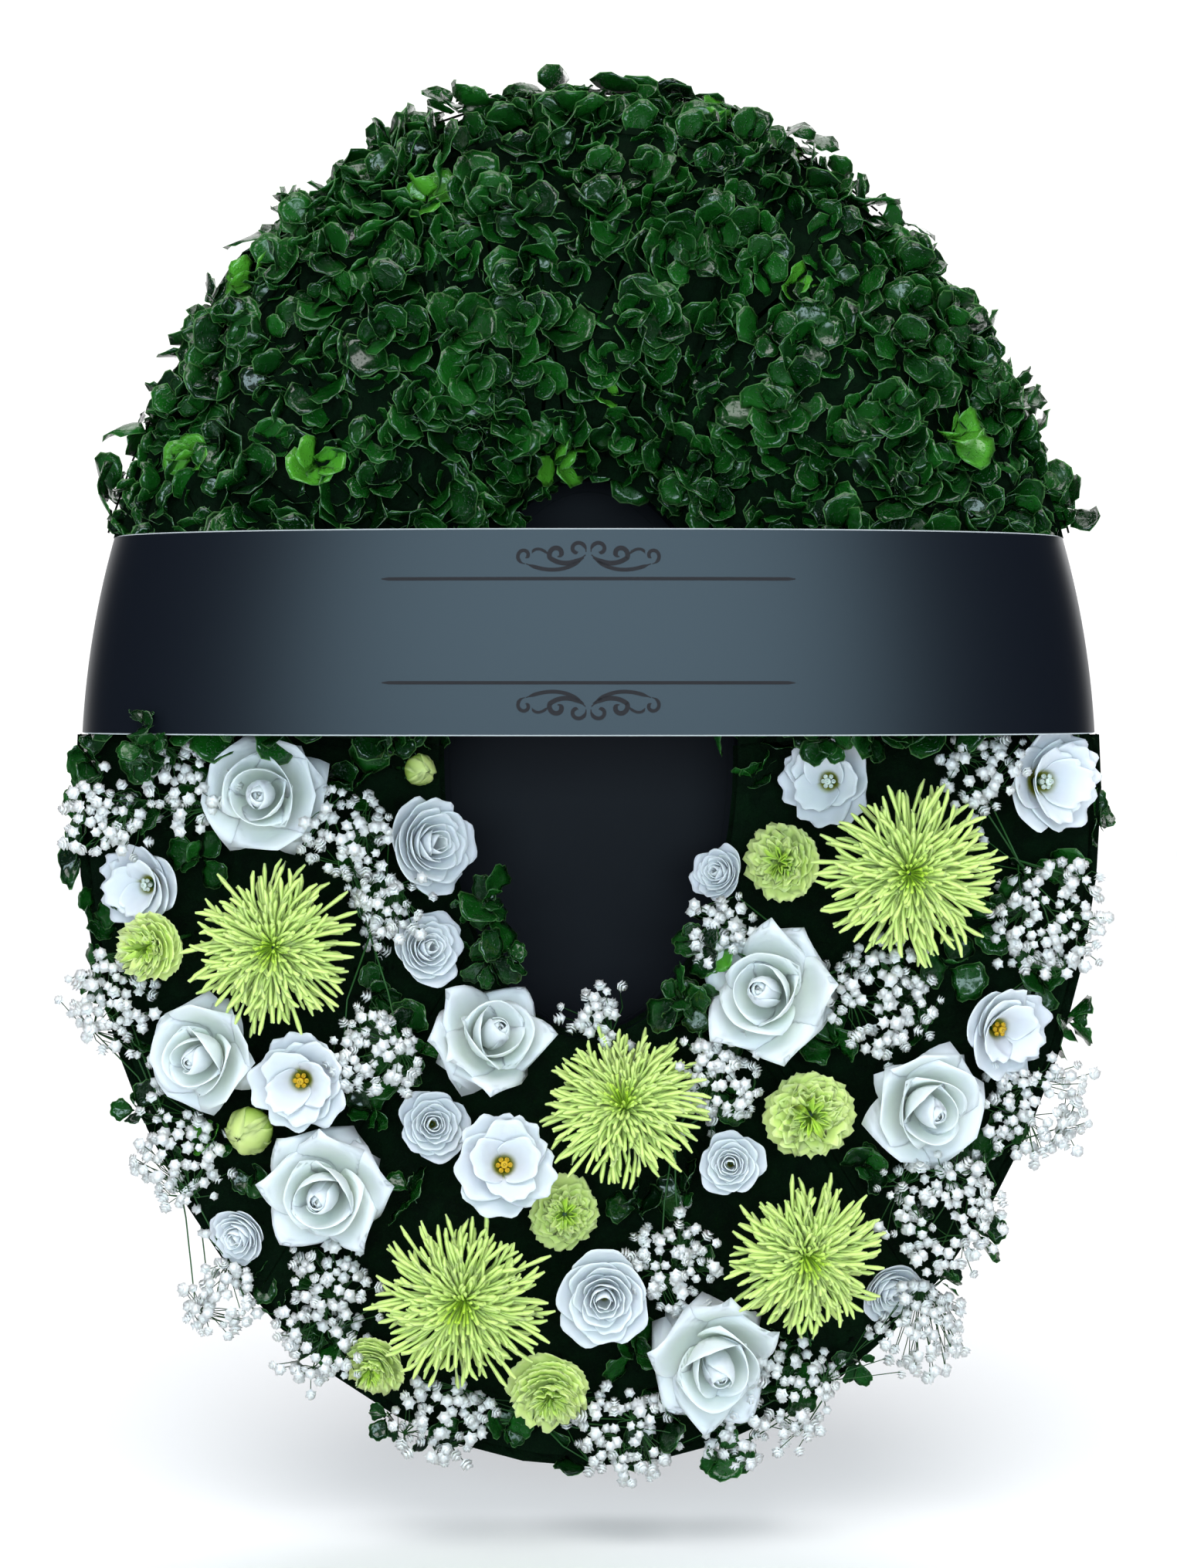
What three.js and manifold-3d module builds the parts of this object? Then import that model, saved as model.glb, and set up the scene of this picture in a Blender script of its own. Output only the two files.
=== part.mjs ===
// A memorial wreath, built the way a florist builds one: an oval backing board carries a ring of
// floral foam, closed at its edges by two upright strips. Leafy sprigs make a dome over the upper half,
// cut flowers and sprays of baby's breath fill the lower half, and a stiff black message band is bent
// across the front and pinned to the sides. It hangs from a wire loop at the top of the board.
// Millimetres. The origin is the centre of the board's back face, +X is to the right as one faces the
// wreath, -Y points out of it towards the viewer and +Z is up.
import * as THREE from "three";
import { mergeVertices } from "three/addons/utils/BufferGeometryUtils.js";
import Module from "manifold-3d";

const wasm = await Module();
wasm.setup();

// ---------------------------------------------------------------- driving dimensions
const OVAL = { halfWidth: 360, halfHeight: 485, centreZ: 0 }; // outline of board and outer strip
const HOLE = { halfWidth: 110, halfHeight: 205, centreZ: 20 }; // opening of the ring
const BOARD_THICK = 6;
const STRIP_THICK = 2.2; // outer skirt and hole liner
const GAP = 0.3; // between pieces that touch
const FOAM_FRONT = 62; // depth of the foam's front face
const STRIP_FRONT = 65; // depth of the strips' front edge
const STEM_FOOT = 30; // depth at which every cut stem ends inside the foam
const OVAL_SEGMENTS = 32; // per half turn

const BAND = { bottom: 38, top: 178, thick: 2.5, bulge: 134, sideDepth: 68, tailDepth: 12 };
const BAND_CLEAR = 1.0; // between the band's ends and the skirt
const BAND_POWER = 2.3; // how flat the band's front is: 2 is an ellipse
const BAND_POINTS = 20;
const PIN = { shaft: 0.8, head: 4.5, headThick: 2.4, length: 38, z: 108, depth: 28 };
const LOOP = { wire: 2, halfWidth: 14, depth: 9.5, foot: 430, shoulder: 489, top: 507 };

const GREENERY = { inward: 7, droop: 36, base: FOAM_FRONT + 4 };
const DOME = { from: 5, to: 175, clumps: 5, height: 78, outward: 12, name: "dome_greenery" };
const BED = { from: 175, to: 365, clumps: 3, height: 9, outward: 12, name: "bed_greenery" };

const COLOUR = {
  board: 0x12141c,
  film: 0x0c100d,
  band: 0x232a38,
  steel: 0x9a9ea3,
  leaf: 0x12401a,
  white: 0xe9eef0,
  green: 0xb2d678,
  bud: 0xb9d79e,
  spray: 0xe6ecec,
};

// ---------------------------------------------------------------- solids
function solidOf(geometry) {
  const plain = geometry.index ? geometry.toNonIndexed() : geometry.clone();
  plain.deleteAttribute("normal");
  plain.deleteAttribute("uv");
  const merged = mergeVertices(plain, 1e-3);
  const corners = merged.index.array;
  const kept = [];
  for (let i = 0; i < corners.length; i += 3) {
    const [a, b, c] = corners.slice(i, i + 3);
    if (a !== b && b !== c && a !== c) kept.push(a, b, c);
  }
  return new wasm.Manifold(
    new wasm.Mesh({
      numProp: 3,
      vertProperties: merged.attributes.position.array,
      triVerts: new Uint32Array(kept),
    }),
  );
}

function geometryOf(solid) {
  const mesh = solid.getMesh();
  const geometry = new THREE.BufferGeometry();
  geometry.setAttribute("position", new THREE.BufferAttribute(mesh.vertProperties, mesh.numProp));
  geometry.setIndex(new THREE.BufferAttribute(mesh.triVerts, 1));
  return geometry;
}

const joined = (solids) => solids.reduce((whole, next) => whole.add(next));

function largestPiece(solid) {
  return solid.decompose().sort((a, b) => b.volume() - a.volume())[0];
}

// An upright oval of the XZ plane, grown outwards by a margin.
function ovalPath(path, oval, grow) {
  path.absellipse(0, oval.centreZ, oval.halfWidth + grow, oval.halfHeight + grow, 0, 2 * Math.PI);
  return path;
}

// A flat shape drawn in X and Z, given thickness from one depth to another, depth being -Y.
function slab(shape, fromDepth, toDepth) {
  const geometry = new THREE.ExtrudeGeometry(shape, {
    depth: toDepth - fromDepth,
    bevelEnabled: false,
    curveSegments: OVAL_SEGMENTS,
  });
  geometry.rotateX(Math.PI / 2);
  geometry.translate(0, -fromDepth, 0);
  return solidOf(geometry);
}

function ovalRing(outer, outerGrow, inner, innerGrow, fromDepth, toDepth) {
  const shape = ovalPath(new THREE.Shape(), outer, outerGrow);
  shape.holes.push(ovalPath(new THREE.Path(), inner, innerGrow));
  return slab(shape, fromDepth, toDepth);
}

// ---------------------------------------------------------------- the bed that the stems stand in
// Where a point of the ring lies between the hole's edge (-1) and the outer edge (+1), and which way
// a stem set there leans: outwards near the outer edge, into the hole near the hole.
const LEAN = THREE.MathUtils.degToRad(36);
function bedAt(x, z) {
  const out = new THREE.Vector2(x / OVAL.halfWidth, z / OVAL.halfHeight);
  const hole = new THREE.Vector2(x / HOLE.halfWidth, (z - HOLE.centreZ) / HOLE.halfHeight);
  const fromHole = Math.max(hole.length() - 1, 0);
  const fromEdge = Math.max(1 - out.length(), 0) * 2.8;
  const across = (2 * fromHole) / (fromHole + fromEdge) - 1;
  const side = new THREE.Vector2(out.x / OVAL.halfWidth, out.y / OVAL.halfHeight).normalize();
  const tilt = LEAN * across;
  return {
    arch: Math.sqrt(Math.max(1 - across * across, 0)),
    facing: new THREE.Vector3(
      side.x * Math.sin(tilt),
      -Math.cos(tilt),
      side.y * Math.sin(tilt),
    ),
  };
}

// ---------------------------------------------------------------- cut flowers
// Each kind's outline from its stem to the middle of its face, as [radius, height] with radius 1.
const KINDS = {
  rose: {
    outline: [[0.2, 0], [0.5, 0.14], [0.8, 0.46], [1, 0.74], [0.72, 0.78], [0.5, 1.02], [0.2, 1.08]],
    crown: 0.98, sides: 10, stem: 2.6, ripple: 0.05, lobes: 5, colour: COLOUR.white,
  },
  lisianthus: {
    outline: [[0.15, 0], [0.36, 0.26], [0.74, 0.6], [1, 0.88], [0.92, 0.94], [0.5, 0.6]],
    crown: 0.42, sides: 10, stem: 1.8, ripple: 0.04, lobes: 5, colour: COLOUR.white,
  },
  lisianthus_double: {
    outline: [[0.15, 0], [0.5, 0.22], [0.9, 0.55], [1, 0.78], [0.78, 0.98], [0.36, 1.02]],
    crown: 0.9, sides: 10, stem: 1.8, ripple: 0.04, lobes: 5, colour: COLOUR.white,
  },
  spider_mum: {
    outline: [[0.12, 0], [0.5, 0.1], [1, 0.22], [0.98, 0.32], [0.74, 0.48], [0.36, 0.56]],
    crown: 0.5, sides: 16, stem: 2.8, ripple: 0.08, lobes: 8, colour: COLOUR.green,
  },
  carnation: {
    outline: [[0.22, 0], [0.3, 0.42], [0.88, 0.66], [1, 0.86], [0.78, 1.12], [0.36, 1.22]],
    crown: 1.18, sides: 12, stem: 1.8, ripple: 0.06, lobes: 6, colour: COLOUR.green,
  },
  bud: {
    outline: [[0.3, 0], [0.86, 0.5], [1, 0.95], [0.7, 1.7]],
    crown: 2.05, sides: 8, stem: 1.5, ripple: 0, lobes: 4, colour: COLOUR.bud,
  },
};

// One flower with its stem, facing +Y, its head starting at the origin. Growing it by a margin gives
// the room that it needs in a neighbour.
function flowerSolid(kind, radius, stemLength, margin) {
  const { outline, crown, sides, stem, ripple, lobes } = KINDS[kind];
  const profile = [[0, 0], ...outline, [0, crown]].map(([r, h]) => new THREE.Vector2(r, h));
  const grown = profile.map((point, i) => {
    const before = profile[Math.max(i - 1, 0)];
    const after = profile[Math.min(i + 1, profile.length - 1)];
    const along = after.clone().sub(before).normalize();
    const spot = point.clone().multiplyScalar(radius);
    if (point.x === 0) return spot.setY(spot.y + (i === 0 ? -margin : margin));
    return spot.add(new THREE.Vector2(along.y, -along.x).multiplyScalar(margin));
  });
  const head = new THREE.LatheGeometry(grown, sides);
  const place = head.getAttribute("position");
  for (let i = 0; i < place.count; i++) {
    const across = Math.hypot(place.getX(i), place.getZ(i));
    const angle = Math.atan2(place.getZ(i), place.getX(i));
    const wave = 1 + ripple * Math.cos(lobes * angle) * (across / radius);
    place.setXYZ(i, place.getX(i) * wave, place.getY(i), place.getZ(i) * wave);
  }
  const length = stemLength + 2 * margin;
  const rod = new THREE.CylinderGeometry(stem + margin, stem + margin, length + 2, 6);
  rod.translate(0, 2 - length / 2 + margin - 1, 0);
  return solidOf(head).add(solidOf(rod));
}

// Name, kind, X and Z of the middle of the head, radius, and how far the head is lifted or sunk
// against its neighbours.
const FLOWERS = [
  ["rose_1", "rose", -229, -4, 40, 6],
  ["rose_2", "rose", -274, -190, 37, 0],
  ["rose_3", "rose", -186, -286, 41, 4],
  ["rose_4", "rose", -68, -176, 38, 4],
  ["rose_5", "rose", 126, -144, 43, 6],
  ["rose_6", "rose", 239, -226, 39, 4],
  ["rose_7", "rose", 90, -407, 43, 2],
  ["lisianthus_1", "lisianthus_double", -112, -40, 36, 6],
  ["lisianthus_2", "lisianthus_double", -115, -115, 27, -2],
  ["lisianthus_3", "lisianthus", -203, -207, 35, 2],
  ["lisianthus_4", "lisianthus_double", -111, -241, 26, -14],
  ["lisianthus_5", "lisianthus", -60, -267, 36, 14],
  ["lisianthus_6", "lisianthus_double", 11, -361, 35, 4],
  ["lisianthus_7", "lisianthus_double", 101, -268, 24, -4],
  ["lisianthus_8", "lisianthus", 291, -172, 34, -8],
  ["lisianthus_9", "lisianthus", 172, 4, 33, -14],
  ["lisianthus_10", "lisianthus", 322, 4, 37, -2],
  ["lisianthus_11", "lisianthus_double", 94, -62, 21, -2],
  ["lisianthus_12", "lisianthus", -314, -70, 31, -14],
  ["lisianthus_13", "lisianthus_double", -250, -322, 23, -10],
  ["lisianthus_14", "lisianthus_double", 217, -363, 24, -16],
  ["spider_mum_1", "spider_mum", -222, -112, 57, 14],
  ["spider_mum_2", "spider_mum", 224, -59, 62, 26],
  ["spider_mum_3", "spider_mum", 25, -224, 56, 16],
  ["spider_mum_4", "spider_mum", -88, -361, 61, 18],
  ["spider_mum_5", "spider_mum", 153, -329, 55, 20],
  ["carnation_1", "carnation", -309, -112, 28, 6],
  ["carnation_2", "carnation", 139, -54, 29, -10],
  ["carnation_3", "carnation", 157, -232, 34, -8],
  ["carnation_4", "carnation", -17, -305, 26, -14],
  ["carnation_5", "carnation", -27, -431, 31, -4],
  ["carnation_6", "carnation", -153, -416, 23, -16],
  ["lisianthus_bud_1", "bud", -242, -245, 15, -6],
  ["lisianthus_bud_2", "bud", -119, 12, 10, 0],
];

const HEAD_LIFT = { edge: 12, middle: 22 }; // bare stem between the foam and a head

// Where a flower's head starts, which way it faces and how long its stem is.
function flowerPlace([, kind, x, z, radius, lift]) {
  const { arch, facing } = bedAt(x, z);
  const height = KINDS[kind].crown * radius;
  const depth = FOAM_FRONT + HEAD_LIFT.edge + HEAD_LIFT.middle * arch + lift + height / 2;
  const middle = new THREE.Vector3(x, -depth, z);
  const foot = middle.clone().addScaledVector(facing, -height / 2);
  return { foot, facing, stemLength: (-STEM_FOOT - foot.y) / -facing.y };
}

function placed(solid, { foot, facing }) {
  const turn = new THREE.Quaternion().setFromUnitVectors(new THREE.Vector3(0, 1, 0), facing);
  const matrix = new THREE.Matrix4().compose(foot, turn, new THREE.Vector3(1, 1, 1));
  return solid.transform(matrix.elements);
}

function flower(entry, margin) {
  const place = flowerPlace(entry);
  const [, kind, , , radius] = entry;
  return placed(flowerSolid(kind, radius, place.stemLength, margin), place);
}

// ---------------------------------------------------------------- baby's breath
// Each spray: where its stem enters the foam, then its puffs of florets as X, Z, radius, depth.
const SPRAYS = [
  { root: [-300, -24], puffs: [[-340, -20, 26, 104], [-286, 2, 26, 118]] },
  { root: [-150, -134], puffs: [[-170, -36, 30, 122], [-143, -86, 24, 116], [-152, -184, 30, 114]] },
  { root: [-302, -240], puffs: [[-338, -157, 30, 94], [-292, -264, 32, 94], [-264, -364, 26, 90]] },
  { root: [-176, -366], puffs: [[-182, -352, 27, 102], [-196, -396, 28, 94], [-150, -442, 26, 92]] },
  { root: [-74, -440], puffs: [[-100, -452, 32, 94], [24, -464, 32, 94]] },
  { root: [84, -274], puffs: [[58, -334, 30, 108], [90, -206, 30, 110], [6, -162, 20, 96]] },
  { root: [170, -130], puffs: [[206, -148, 36, 112], [94, -104, 24, 104]] },
  { root: [286, -60], puffs: [[326, -92, 40, 98], [276, 14, 30, 116]] },
  { root: [262, -290], puffs: [[318, -232, 34, 92], [256, -300, 40, 106]] },
  { root: [190, -400], puffs: [[146, -434, 34, 94], [236, -388, 34, 88], [106, -466, 24, 84]] },
];
const TWIG = 1.7;

// A rod between two points.
function rod(from, to, radius) {
  const along = to.clone().sub(from);
  const geometry = new THREE.CylinderGeometry(radius, radius, along.length(), 6);
  geometry.translate(0, along.length() / 2, 0);
  const facing = along.clone().normalize();
  return placed(solidOf(geometry), { foot: from, facing });
}

// A rough ball, flatter from front to back.
function puff(x, z, radius, depth) {
  const geometry = new THREE.IcosahedronGeometry(radius, 1);
  const place = geometry.getAttribute("position");
  for (let i = 0; i < place.count; i++) {
    const [px, py, pz] = [place.getX(i), place.getY(i), place.getZ(i)];
    const wave = 1 + 0.1 * Math.sin(px * 0.21 + x) * Math.cos(pz * 0.19 + z);
    place.setXYZ(i, px * wave, py * 0.62 * wave, pz * wave);
  }
  geometry.translate(x, -depth, z);
  return solidOf(geometry);
}

function spraySolid({ root, puffs }, margin) {
  const [x, z] = root;
  const foot = new THREE.Vector3(x, -STEM_FOOT, z);
  const fork = new THREE.Vector3(x, -FOAM_FRONT - 5, z);
  const stem = rod(foot, fork, TWIG + margin);
  const twigs = puffs.map(([px, pz, , depth]) =>
    rod(fork, new THREE.Vector3(px, -depth, pz), TWIG + margin),
  );
  return joined([stem, ...twigs, ...puffs.map(([px, pz, r, depth]) => puff(px, pz, r + margin, depth))]);
}

// ---------------------------------------------------------------- greenery
// A doughnut laid over the ring, with a gently lumpy surface of a given height, hanging over the edge.
function greeneryRing(height, outward) {
  const around = 48;
  const section = 10;
  const geometry = new THREE.TorusGeometry(2, 1, section, around);
  const place = geometry.getAttribute("position");
  for (let i = 0; i < place.count; i++) {
    const turn = Math.atan2(place.getY(i), place.getX(i));
    const across = Math.hypot(place.getX(i), place.getY(i)) - 2;
    const up = place.getZ(i);
    const outer = new THREE.Vector2(
      OVAL.halfWidth * Math.cos(turn),
      OVAL.halfHeight * Math.sin(turn),
    );
    const inner = new THREE.Vector2(
      HOLE.halfWidth * Math.cos(turn),
      HOLE.halfHeight * Math.sin(turn) + HOLE.centreZ,
    );
    const width = outer.distanceTo(inner);
    const side = outer.clone().sub(inner).normalize();
    const lump = 1 + 0.05 * Math.sin(9 * turn + 1) + 0.04 * Math.cos(14 * turn + 4 * across);
    const reach =
      width / 2 + (outward - GREENERY.inward) / 2 +
      across * (width / 2 + (outward + GREENERY.inward) / 2);
    const spot = inner.clone().addScaledVector(side, reach);
    const deep = GREENERY.base + up * (up > 0 ? height * lump : GREENERY.droop);
    place.setXYZ(i, spot.x, -deep, spot.y);
  }
  return solidOf(geometry);
}

// A slice of the ring between two angles in degrees, seen from the hole's centre.
function wedge(fromAngle, toAngle) {
  const reach = 900;
  const middle = THREE.MathUtils.degToRad((fromAngle + toAngle) / 2);
  const half = THREE.MathUtils.degToRad((toAngle - fromAngle) / 2);
  const back = GAP / Math.sin(half);
  const apex = [back * Math.cos(middle), HOLE.centreZ + back * Math.sin(middle)];
  const corner = (angle) => [apex[0] + reach * Math.cos(angle), apex[1] + reach * Math.sin(angle)];
  const shape = new THREE.Shape();
  shape.moveTo(...apex);
  shape.lineTo(...corner(middle - half));
  shape.lineTo(...corner(middle + half));
  return slab(shape, -20, 260);
}

const PEG = 2.6;

// How far an oval reaches from its middle at an angle.
function reachOf({ halfWidth, halfHeight }, angle) {
  return 1 / Math.hypot(Math.cos(angle) / halfWidth, Math.sin(angle) / halfHeight);
}

// The short cut stems of one clump: two rows across the ring.
function clumpPegs(fromAngle, toAngle, margin) {
  const pegs = [];
  for (const share of [0.25, 0.75]) {
    const angle = THREE.MathUtils.degToRad(fromAngle + (toAngle - fromAngle) * share);
    for (const across of [0.34, 0.7]) {
      const reach = THREE.MathUtils.lerp(reachOf(HOLE, angle), reachOf(OVAL, angle), across);
      const x = reach * Math.cos(angle);
      const z = HOLE.centreZ + reach * Math.sin(angle);
      const from = new THREE.Vector3(x, -STEM_FOOT, z);
      pegs.push(rod(from, new THREE.Vector3(x, -FOAM_FRONT - 6, z), PEG + margin));
    }
  }
  return pegs;
}

// ---------------------------------------------------------------- message band
// Half the inside width that the band has at a height, which follows the oval.
const bandHalfWidth = (z) =>
  OVAL.halfWidth * Math.sqrt(1 - (z / OVAL.halfHeight) ** 2) + BAND_CLEAR;

// The band's line seen from above, moved outwards by a margin, from its left end to its right end.
function bandLine(grow) {
  const half = bandHalfWidth(0) + grow;
  const points = [new THREE.Vector2(-half, -BAND.tailDepth)];
  for (let i = 0; i <= BAND_POINTS; i++) {
    const turn = (Math.PI * i) / BAND_POINTS;
    const x = -half * Math.sign(Math.cos(turn)) * Math.abs(Math.cos(turn)) ** (2 / BAND_POWER);
    points.push(new THREE.Vector2(x, -BAND.sideDepth - (BAND.bulge + grow) * Math.sin(turn)));
  }
  points.push(new THREE.Vector2(half, -BAND.tailDepth));
  return points;
}

// A plan outline raised over the band's height, narrowed towards the top as the oval narrows.
function raised(outline, bottom, top) {
  const geometry = new THREE.ExtrudeGeometry(new THREE.Shape(outline), {
    depth: top - bottom,
    steps: 3,
    bevelEnabled: false,
  });
  geometry.translate(0, 0, bottom);
  const place = geometry.getAttribute("position");
  for (let i = 0; i < place.count; i++) {
    place.setX(i, (place.getX(i) * bandHalfWidth(place.getZ(i))) / bandHalfWidth(0));
  }
  return solidOf(geometry);
}

function bandSolid() {
  const outline = [...bandLine(BAND.thick), ...bandLine(0).reverse()];
  return raised(outline.reverse(), BAND.bottom, BAND.top);
}

// The space that the band and the air in front of it take, which the greenery stays out of.
function bandRoom() {
  const far = 420;
  const corners = [
    new THREE.Vector2(far, -BAND.tailDepth),
    new THREE.Vector2(far, -far),
    new THREE.Vector2(-far, -far),
    new THREE.Vector2(-far, -BAND.tailDepth),
  ];
  return raised([...bandLine(-1), ...corners].reverse(), BAND.bottom - 1, BAND.top + 1);
}

// ---------------------------------------------------------------- small hardware
// A florist's pin with a round head, pushed sideways through band, skirt and foam.
function pinSolid(side, margin) {
  const outside = bandHalfWidth(PIN.z) + BAND.thick + 0.8;
  const profile = [
    [0, -margin],
    [PIN.shaft + margin, -margin],
    [PIN.shaft + margin, PIN.length],
    [PIN.head + margin, PIN.length],
    [PIN.head * 0.8 + margin, PIN.length + PIN.headThick * 0.7 + margin],
    [0, PIN.length + PIN.headThick + margin],
  ];
  const geometry = new THREE.LatheGeometry(profile.map(([r, h]) => new THREE.Vector2(r, h)), 8);
  const foot = new THREE.Vector3(side * (outside - PIN.length), -PIN.depth, PIN.z);
  return placed(solidOf(geometry), { foot, facing: new THREE.Vector3(side, 0, 0) });
}

// The bent wire that the wreath hangs by: an arch above the board, legs down its front face, and
// feet turned back through two holes in the board.
function loopSolid(margin) {
  const { wire, halfWidth, depth, foot, shoulder, top } = LOOP;
  const leg = [
    [halfWidth, -1, foot],
    [halfWidth, -depth + 2, foot + 0.6],
    [halfWidth, -depth, foot + 5],
    [halfWidth, -depth, (foot + shoulder) / 2],
    [halfWidth, -depth, shoulder],
  ];
  const crown = (top - shoulder) * 0.72;
  const arch = [
    [halfWidth * 0.78, -depth, shoulder + crown],
    [0, -depth, top],
    [-halfWidth * 0.78, -depth, shoulder + crown],
  ];
  const mirrored = leg.map(([x, y, z]) => [-x, y, z]).reverse();
  const points = [...leg, ...arch, ...mirrored].map((p) => new THREE.Vector3(...p));
  const circle = new THREE.Shape();
  circle.absarc(0, 0, wire + margin, 0, 2 * Math.PI);
  const geometry = new THREE.ExtrudeGeometry(circle, {
    extrudePath: new THREE.CatmullRomCurve3(points, false, "centripetal"),
    steps: 30,
    curveSegments: 3,
    bevelEnabled: false,
  });
  return solidOf(geometry);
}

// ---------------------------------------------------------------- assembly
const wreath = new THREE.Group();

function addPiece(name, solid, colour, roughness, metalness = 0) {
  const material = new THREE.MeshStandardMaterial({ color: colour, roughness, metalness });
  const mesh = new THREE.Mesh(geometryOf(solid), material);
  mesh.name = name;
  wreath.add(mesh);
}

const HOLE_ROOM = 0.35; // how much wider than its stem or wire a hole is
const ROOM = 0.5; // air that a piece keeps from what it lies round
const loopCutter = loopSolid(HOLE_ROOM);
const pinCutters = joined([pinSolid(-1, HOLE_ROOM), pinSolid(1, HOLE_ROOM)]);
const stripBack = BOARD_THICK + GAP;

const board = slab(ovalPath(new THREE.Shape(), OVAL, 0), 0, BOARD_THICK).subtract(loopCutter);
addPiece("back_board", board, COLOUR.board, 0.6);

const skirt = ovalRing(OVAL, 0, OVAL, -STRIP_THICK, stripBack, STRIP_FRONT);
addPiece("outer_skirt", skirt.subtract(loopCutter).subtract(pinCutters), COLOUR.board, 0.5);

const liner = ovalRing(HOLE, 0, HOLE, -STRIP_THICK, stripBack, STRIP_FRONT);
addPiece("hole_liner", liner, COLOUR.board, 0.5);

addPiece("message_band", bandSolid().subtract(pinCutters), COLOUR.band, 0.35);
addPiece("band_pin_left", pinSolid(-1, 0), COLOUR.board, 0.3);
addPiece("band_pin_right", pinSolid(1, 0), COLOUR.board, 0.3);
addPiece("hanging_loop", loopSolid(0), COLOUR.steel, 0.35, 1);

// Flowers first, then the sprays between them, then the greenery, each giving way to what stands.
const rooms = [];
const stemHoles = [];
for (const entry of FLOWERS) {
  const [name, kind] = entry;
  addPiece(name, flower(entry, 0), KINDS[kind].colour, 0.7);
  rooms.push(flower(entry, ROOM));
  stemHoles.push(flower(entry, HOLE_ROOM));
}
const flowerRoom = joined(rooms);
const bandAir = bandRoom();

// The strips' edges with a little air round them, and the ring of foam between them.
const stripRoom = ovalRing(OVAL, ROOM, OVAL, -STRIP_THICK - ROOM, -20, STRIP_FRONT + ROOM).add(
  ovalRing(HOLE, ROOM, HOLE, -STRIP_THICK - ROOM, -20, STRIP_FRONT + ROOM),
);
const sprayRooms = [];
for (const [i, spray] of SPRAYS.entries()) {
  const whole = spraySolid(spray, 0).subtract(flowerRoom).subtract(stripRoom).subtract(bandAir);
  addPiece(`babys_breath_${i + 1}`, largestPiece(whole), COLOUR.spray, 0.8);
  sprayRooms.push(spraySolid(spray, ROOM));
  stemHoles.push(spraySolid(spray, HOLE_ROOM));
}

const ringBody = ovalRing(OVAL, ROOM, HOLE, -STRIP_THICK - ROOM, -20, STRIP_FRONT + ROOM);
const taken = joined([flowerRoom, ...sprayRooms, ringBody, bandAir]);
for (const { from, to, clumps, height, outward, name } of [DOME, BED]) {
  const green = greeneryRing(height, outward).subtract(taken);
  const step = (to - from) / clumps;
  for (let i = 0; i < clumps; i++) {
    const start = from + i * step;
    const clump = largestPiece(green.intersect(wedge(start, start + step)));
    const pegs = joined(clumpPegs(start, start + step, 0)).subtract(flowerRoom.add(joined(sprayRooms)));
    addPiece(`${name}_${i + 1}`, largestPiece(clump.add(pegs)), COLOUR.leaf, 0.4);
    stemHoles.push(...clumpPegs(start, start + step, HOLE_ROOM));
  }
}

const foam = ovalRing(OVAL, -STRIP_THICK - GAP, HOLE, GAP, stripBack, FOAM_FRONT);
const holes = joined([...stemHoles, pinCutters, loopCutter]);
addPiece("foam_ring", foam.subtract(holes), COLOUR.film, 0.9);

export default wreath;
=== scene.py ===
"""Gives a hanging memorial wreath its looks round its packed solids, laid out as a Blender add-on.

Everything is in metres in the solids' own frame: +X right, -Y towards the viewer, +Z up.
"""

import math

import bpy
import numpy as np
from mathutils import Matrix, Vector


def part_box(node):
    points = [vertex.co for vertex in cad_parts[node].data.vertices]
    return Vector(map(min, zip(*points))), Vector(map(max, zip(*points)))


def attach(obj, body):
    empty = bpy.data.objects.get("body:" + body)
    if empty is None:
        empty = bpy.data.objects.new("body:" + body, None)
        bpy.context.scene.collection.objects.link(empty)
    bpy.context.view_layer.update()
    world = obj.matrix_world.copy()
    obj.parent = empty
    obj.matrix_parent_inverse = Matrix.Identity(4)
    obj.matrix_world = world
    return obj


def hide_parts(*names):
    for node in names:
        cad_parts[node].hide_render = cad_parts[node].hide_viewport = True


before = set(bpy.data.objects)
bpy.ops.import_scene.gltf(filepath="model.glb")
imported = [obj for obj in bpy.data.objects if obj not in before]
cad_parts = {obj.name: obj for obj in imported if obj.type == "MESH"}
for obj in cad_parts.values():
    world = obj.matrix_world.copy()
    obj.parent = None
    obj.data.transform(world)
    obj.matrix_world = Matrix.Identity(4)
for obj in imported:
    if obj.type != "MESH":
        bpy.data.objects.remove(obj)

bl_info = {
    "name": "Memorial wreath",
    "version": (1, 0, 0),
    "blender": (4, 5, 0),
    "location": "3D View > Sidebar > Wreath",
    "description": "Leaves, flowers, message band and stage of a hanging memorial wreath",
    "category": "Object",
}

MM = 0.001
GOLDEN_ANGLE = math.pi * (3 - math.sqrt(5))
ANY_TURN = (0, 6.3)
FOAM_FRONT = 60 * MM
OVAL_HALF_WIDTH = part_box("back_board")[1].x
OVAL_HALF_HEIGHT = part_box("back_board")[1].z
BAND_LOW, BAND_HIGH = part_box("message_band")
BAND_THICK = 2.5 * MM
LINER_LOW, LINER_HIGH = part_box("hole_liner")
RING_MIDDLE = np.array([0.0, 0.0, (LINER_LOW.z + LINER_HIGH.z) / 2])


def nodes_named(prefix):
    return [name for name in sorted(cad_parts) if name.startswith(prefix)]


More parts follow.
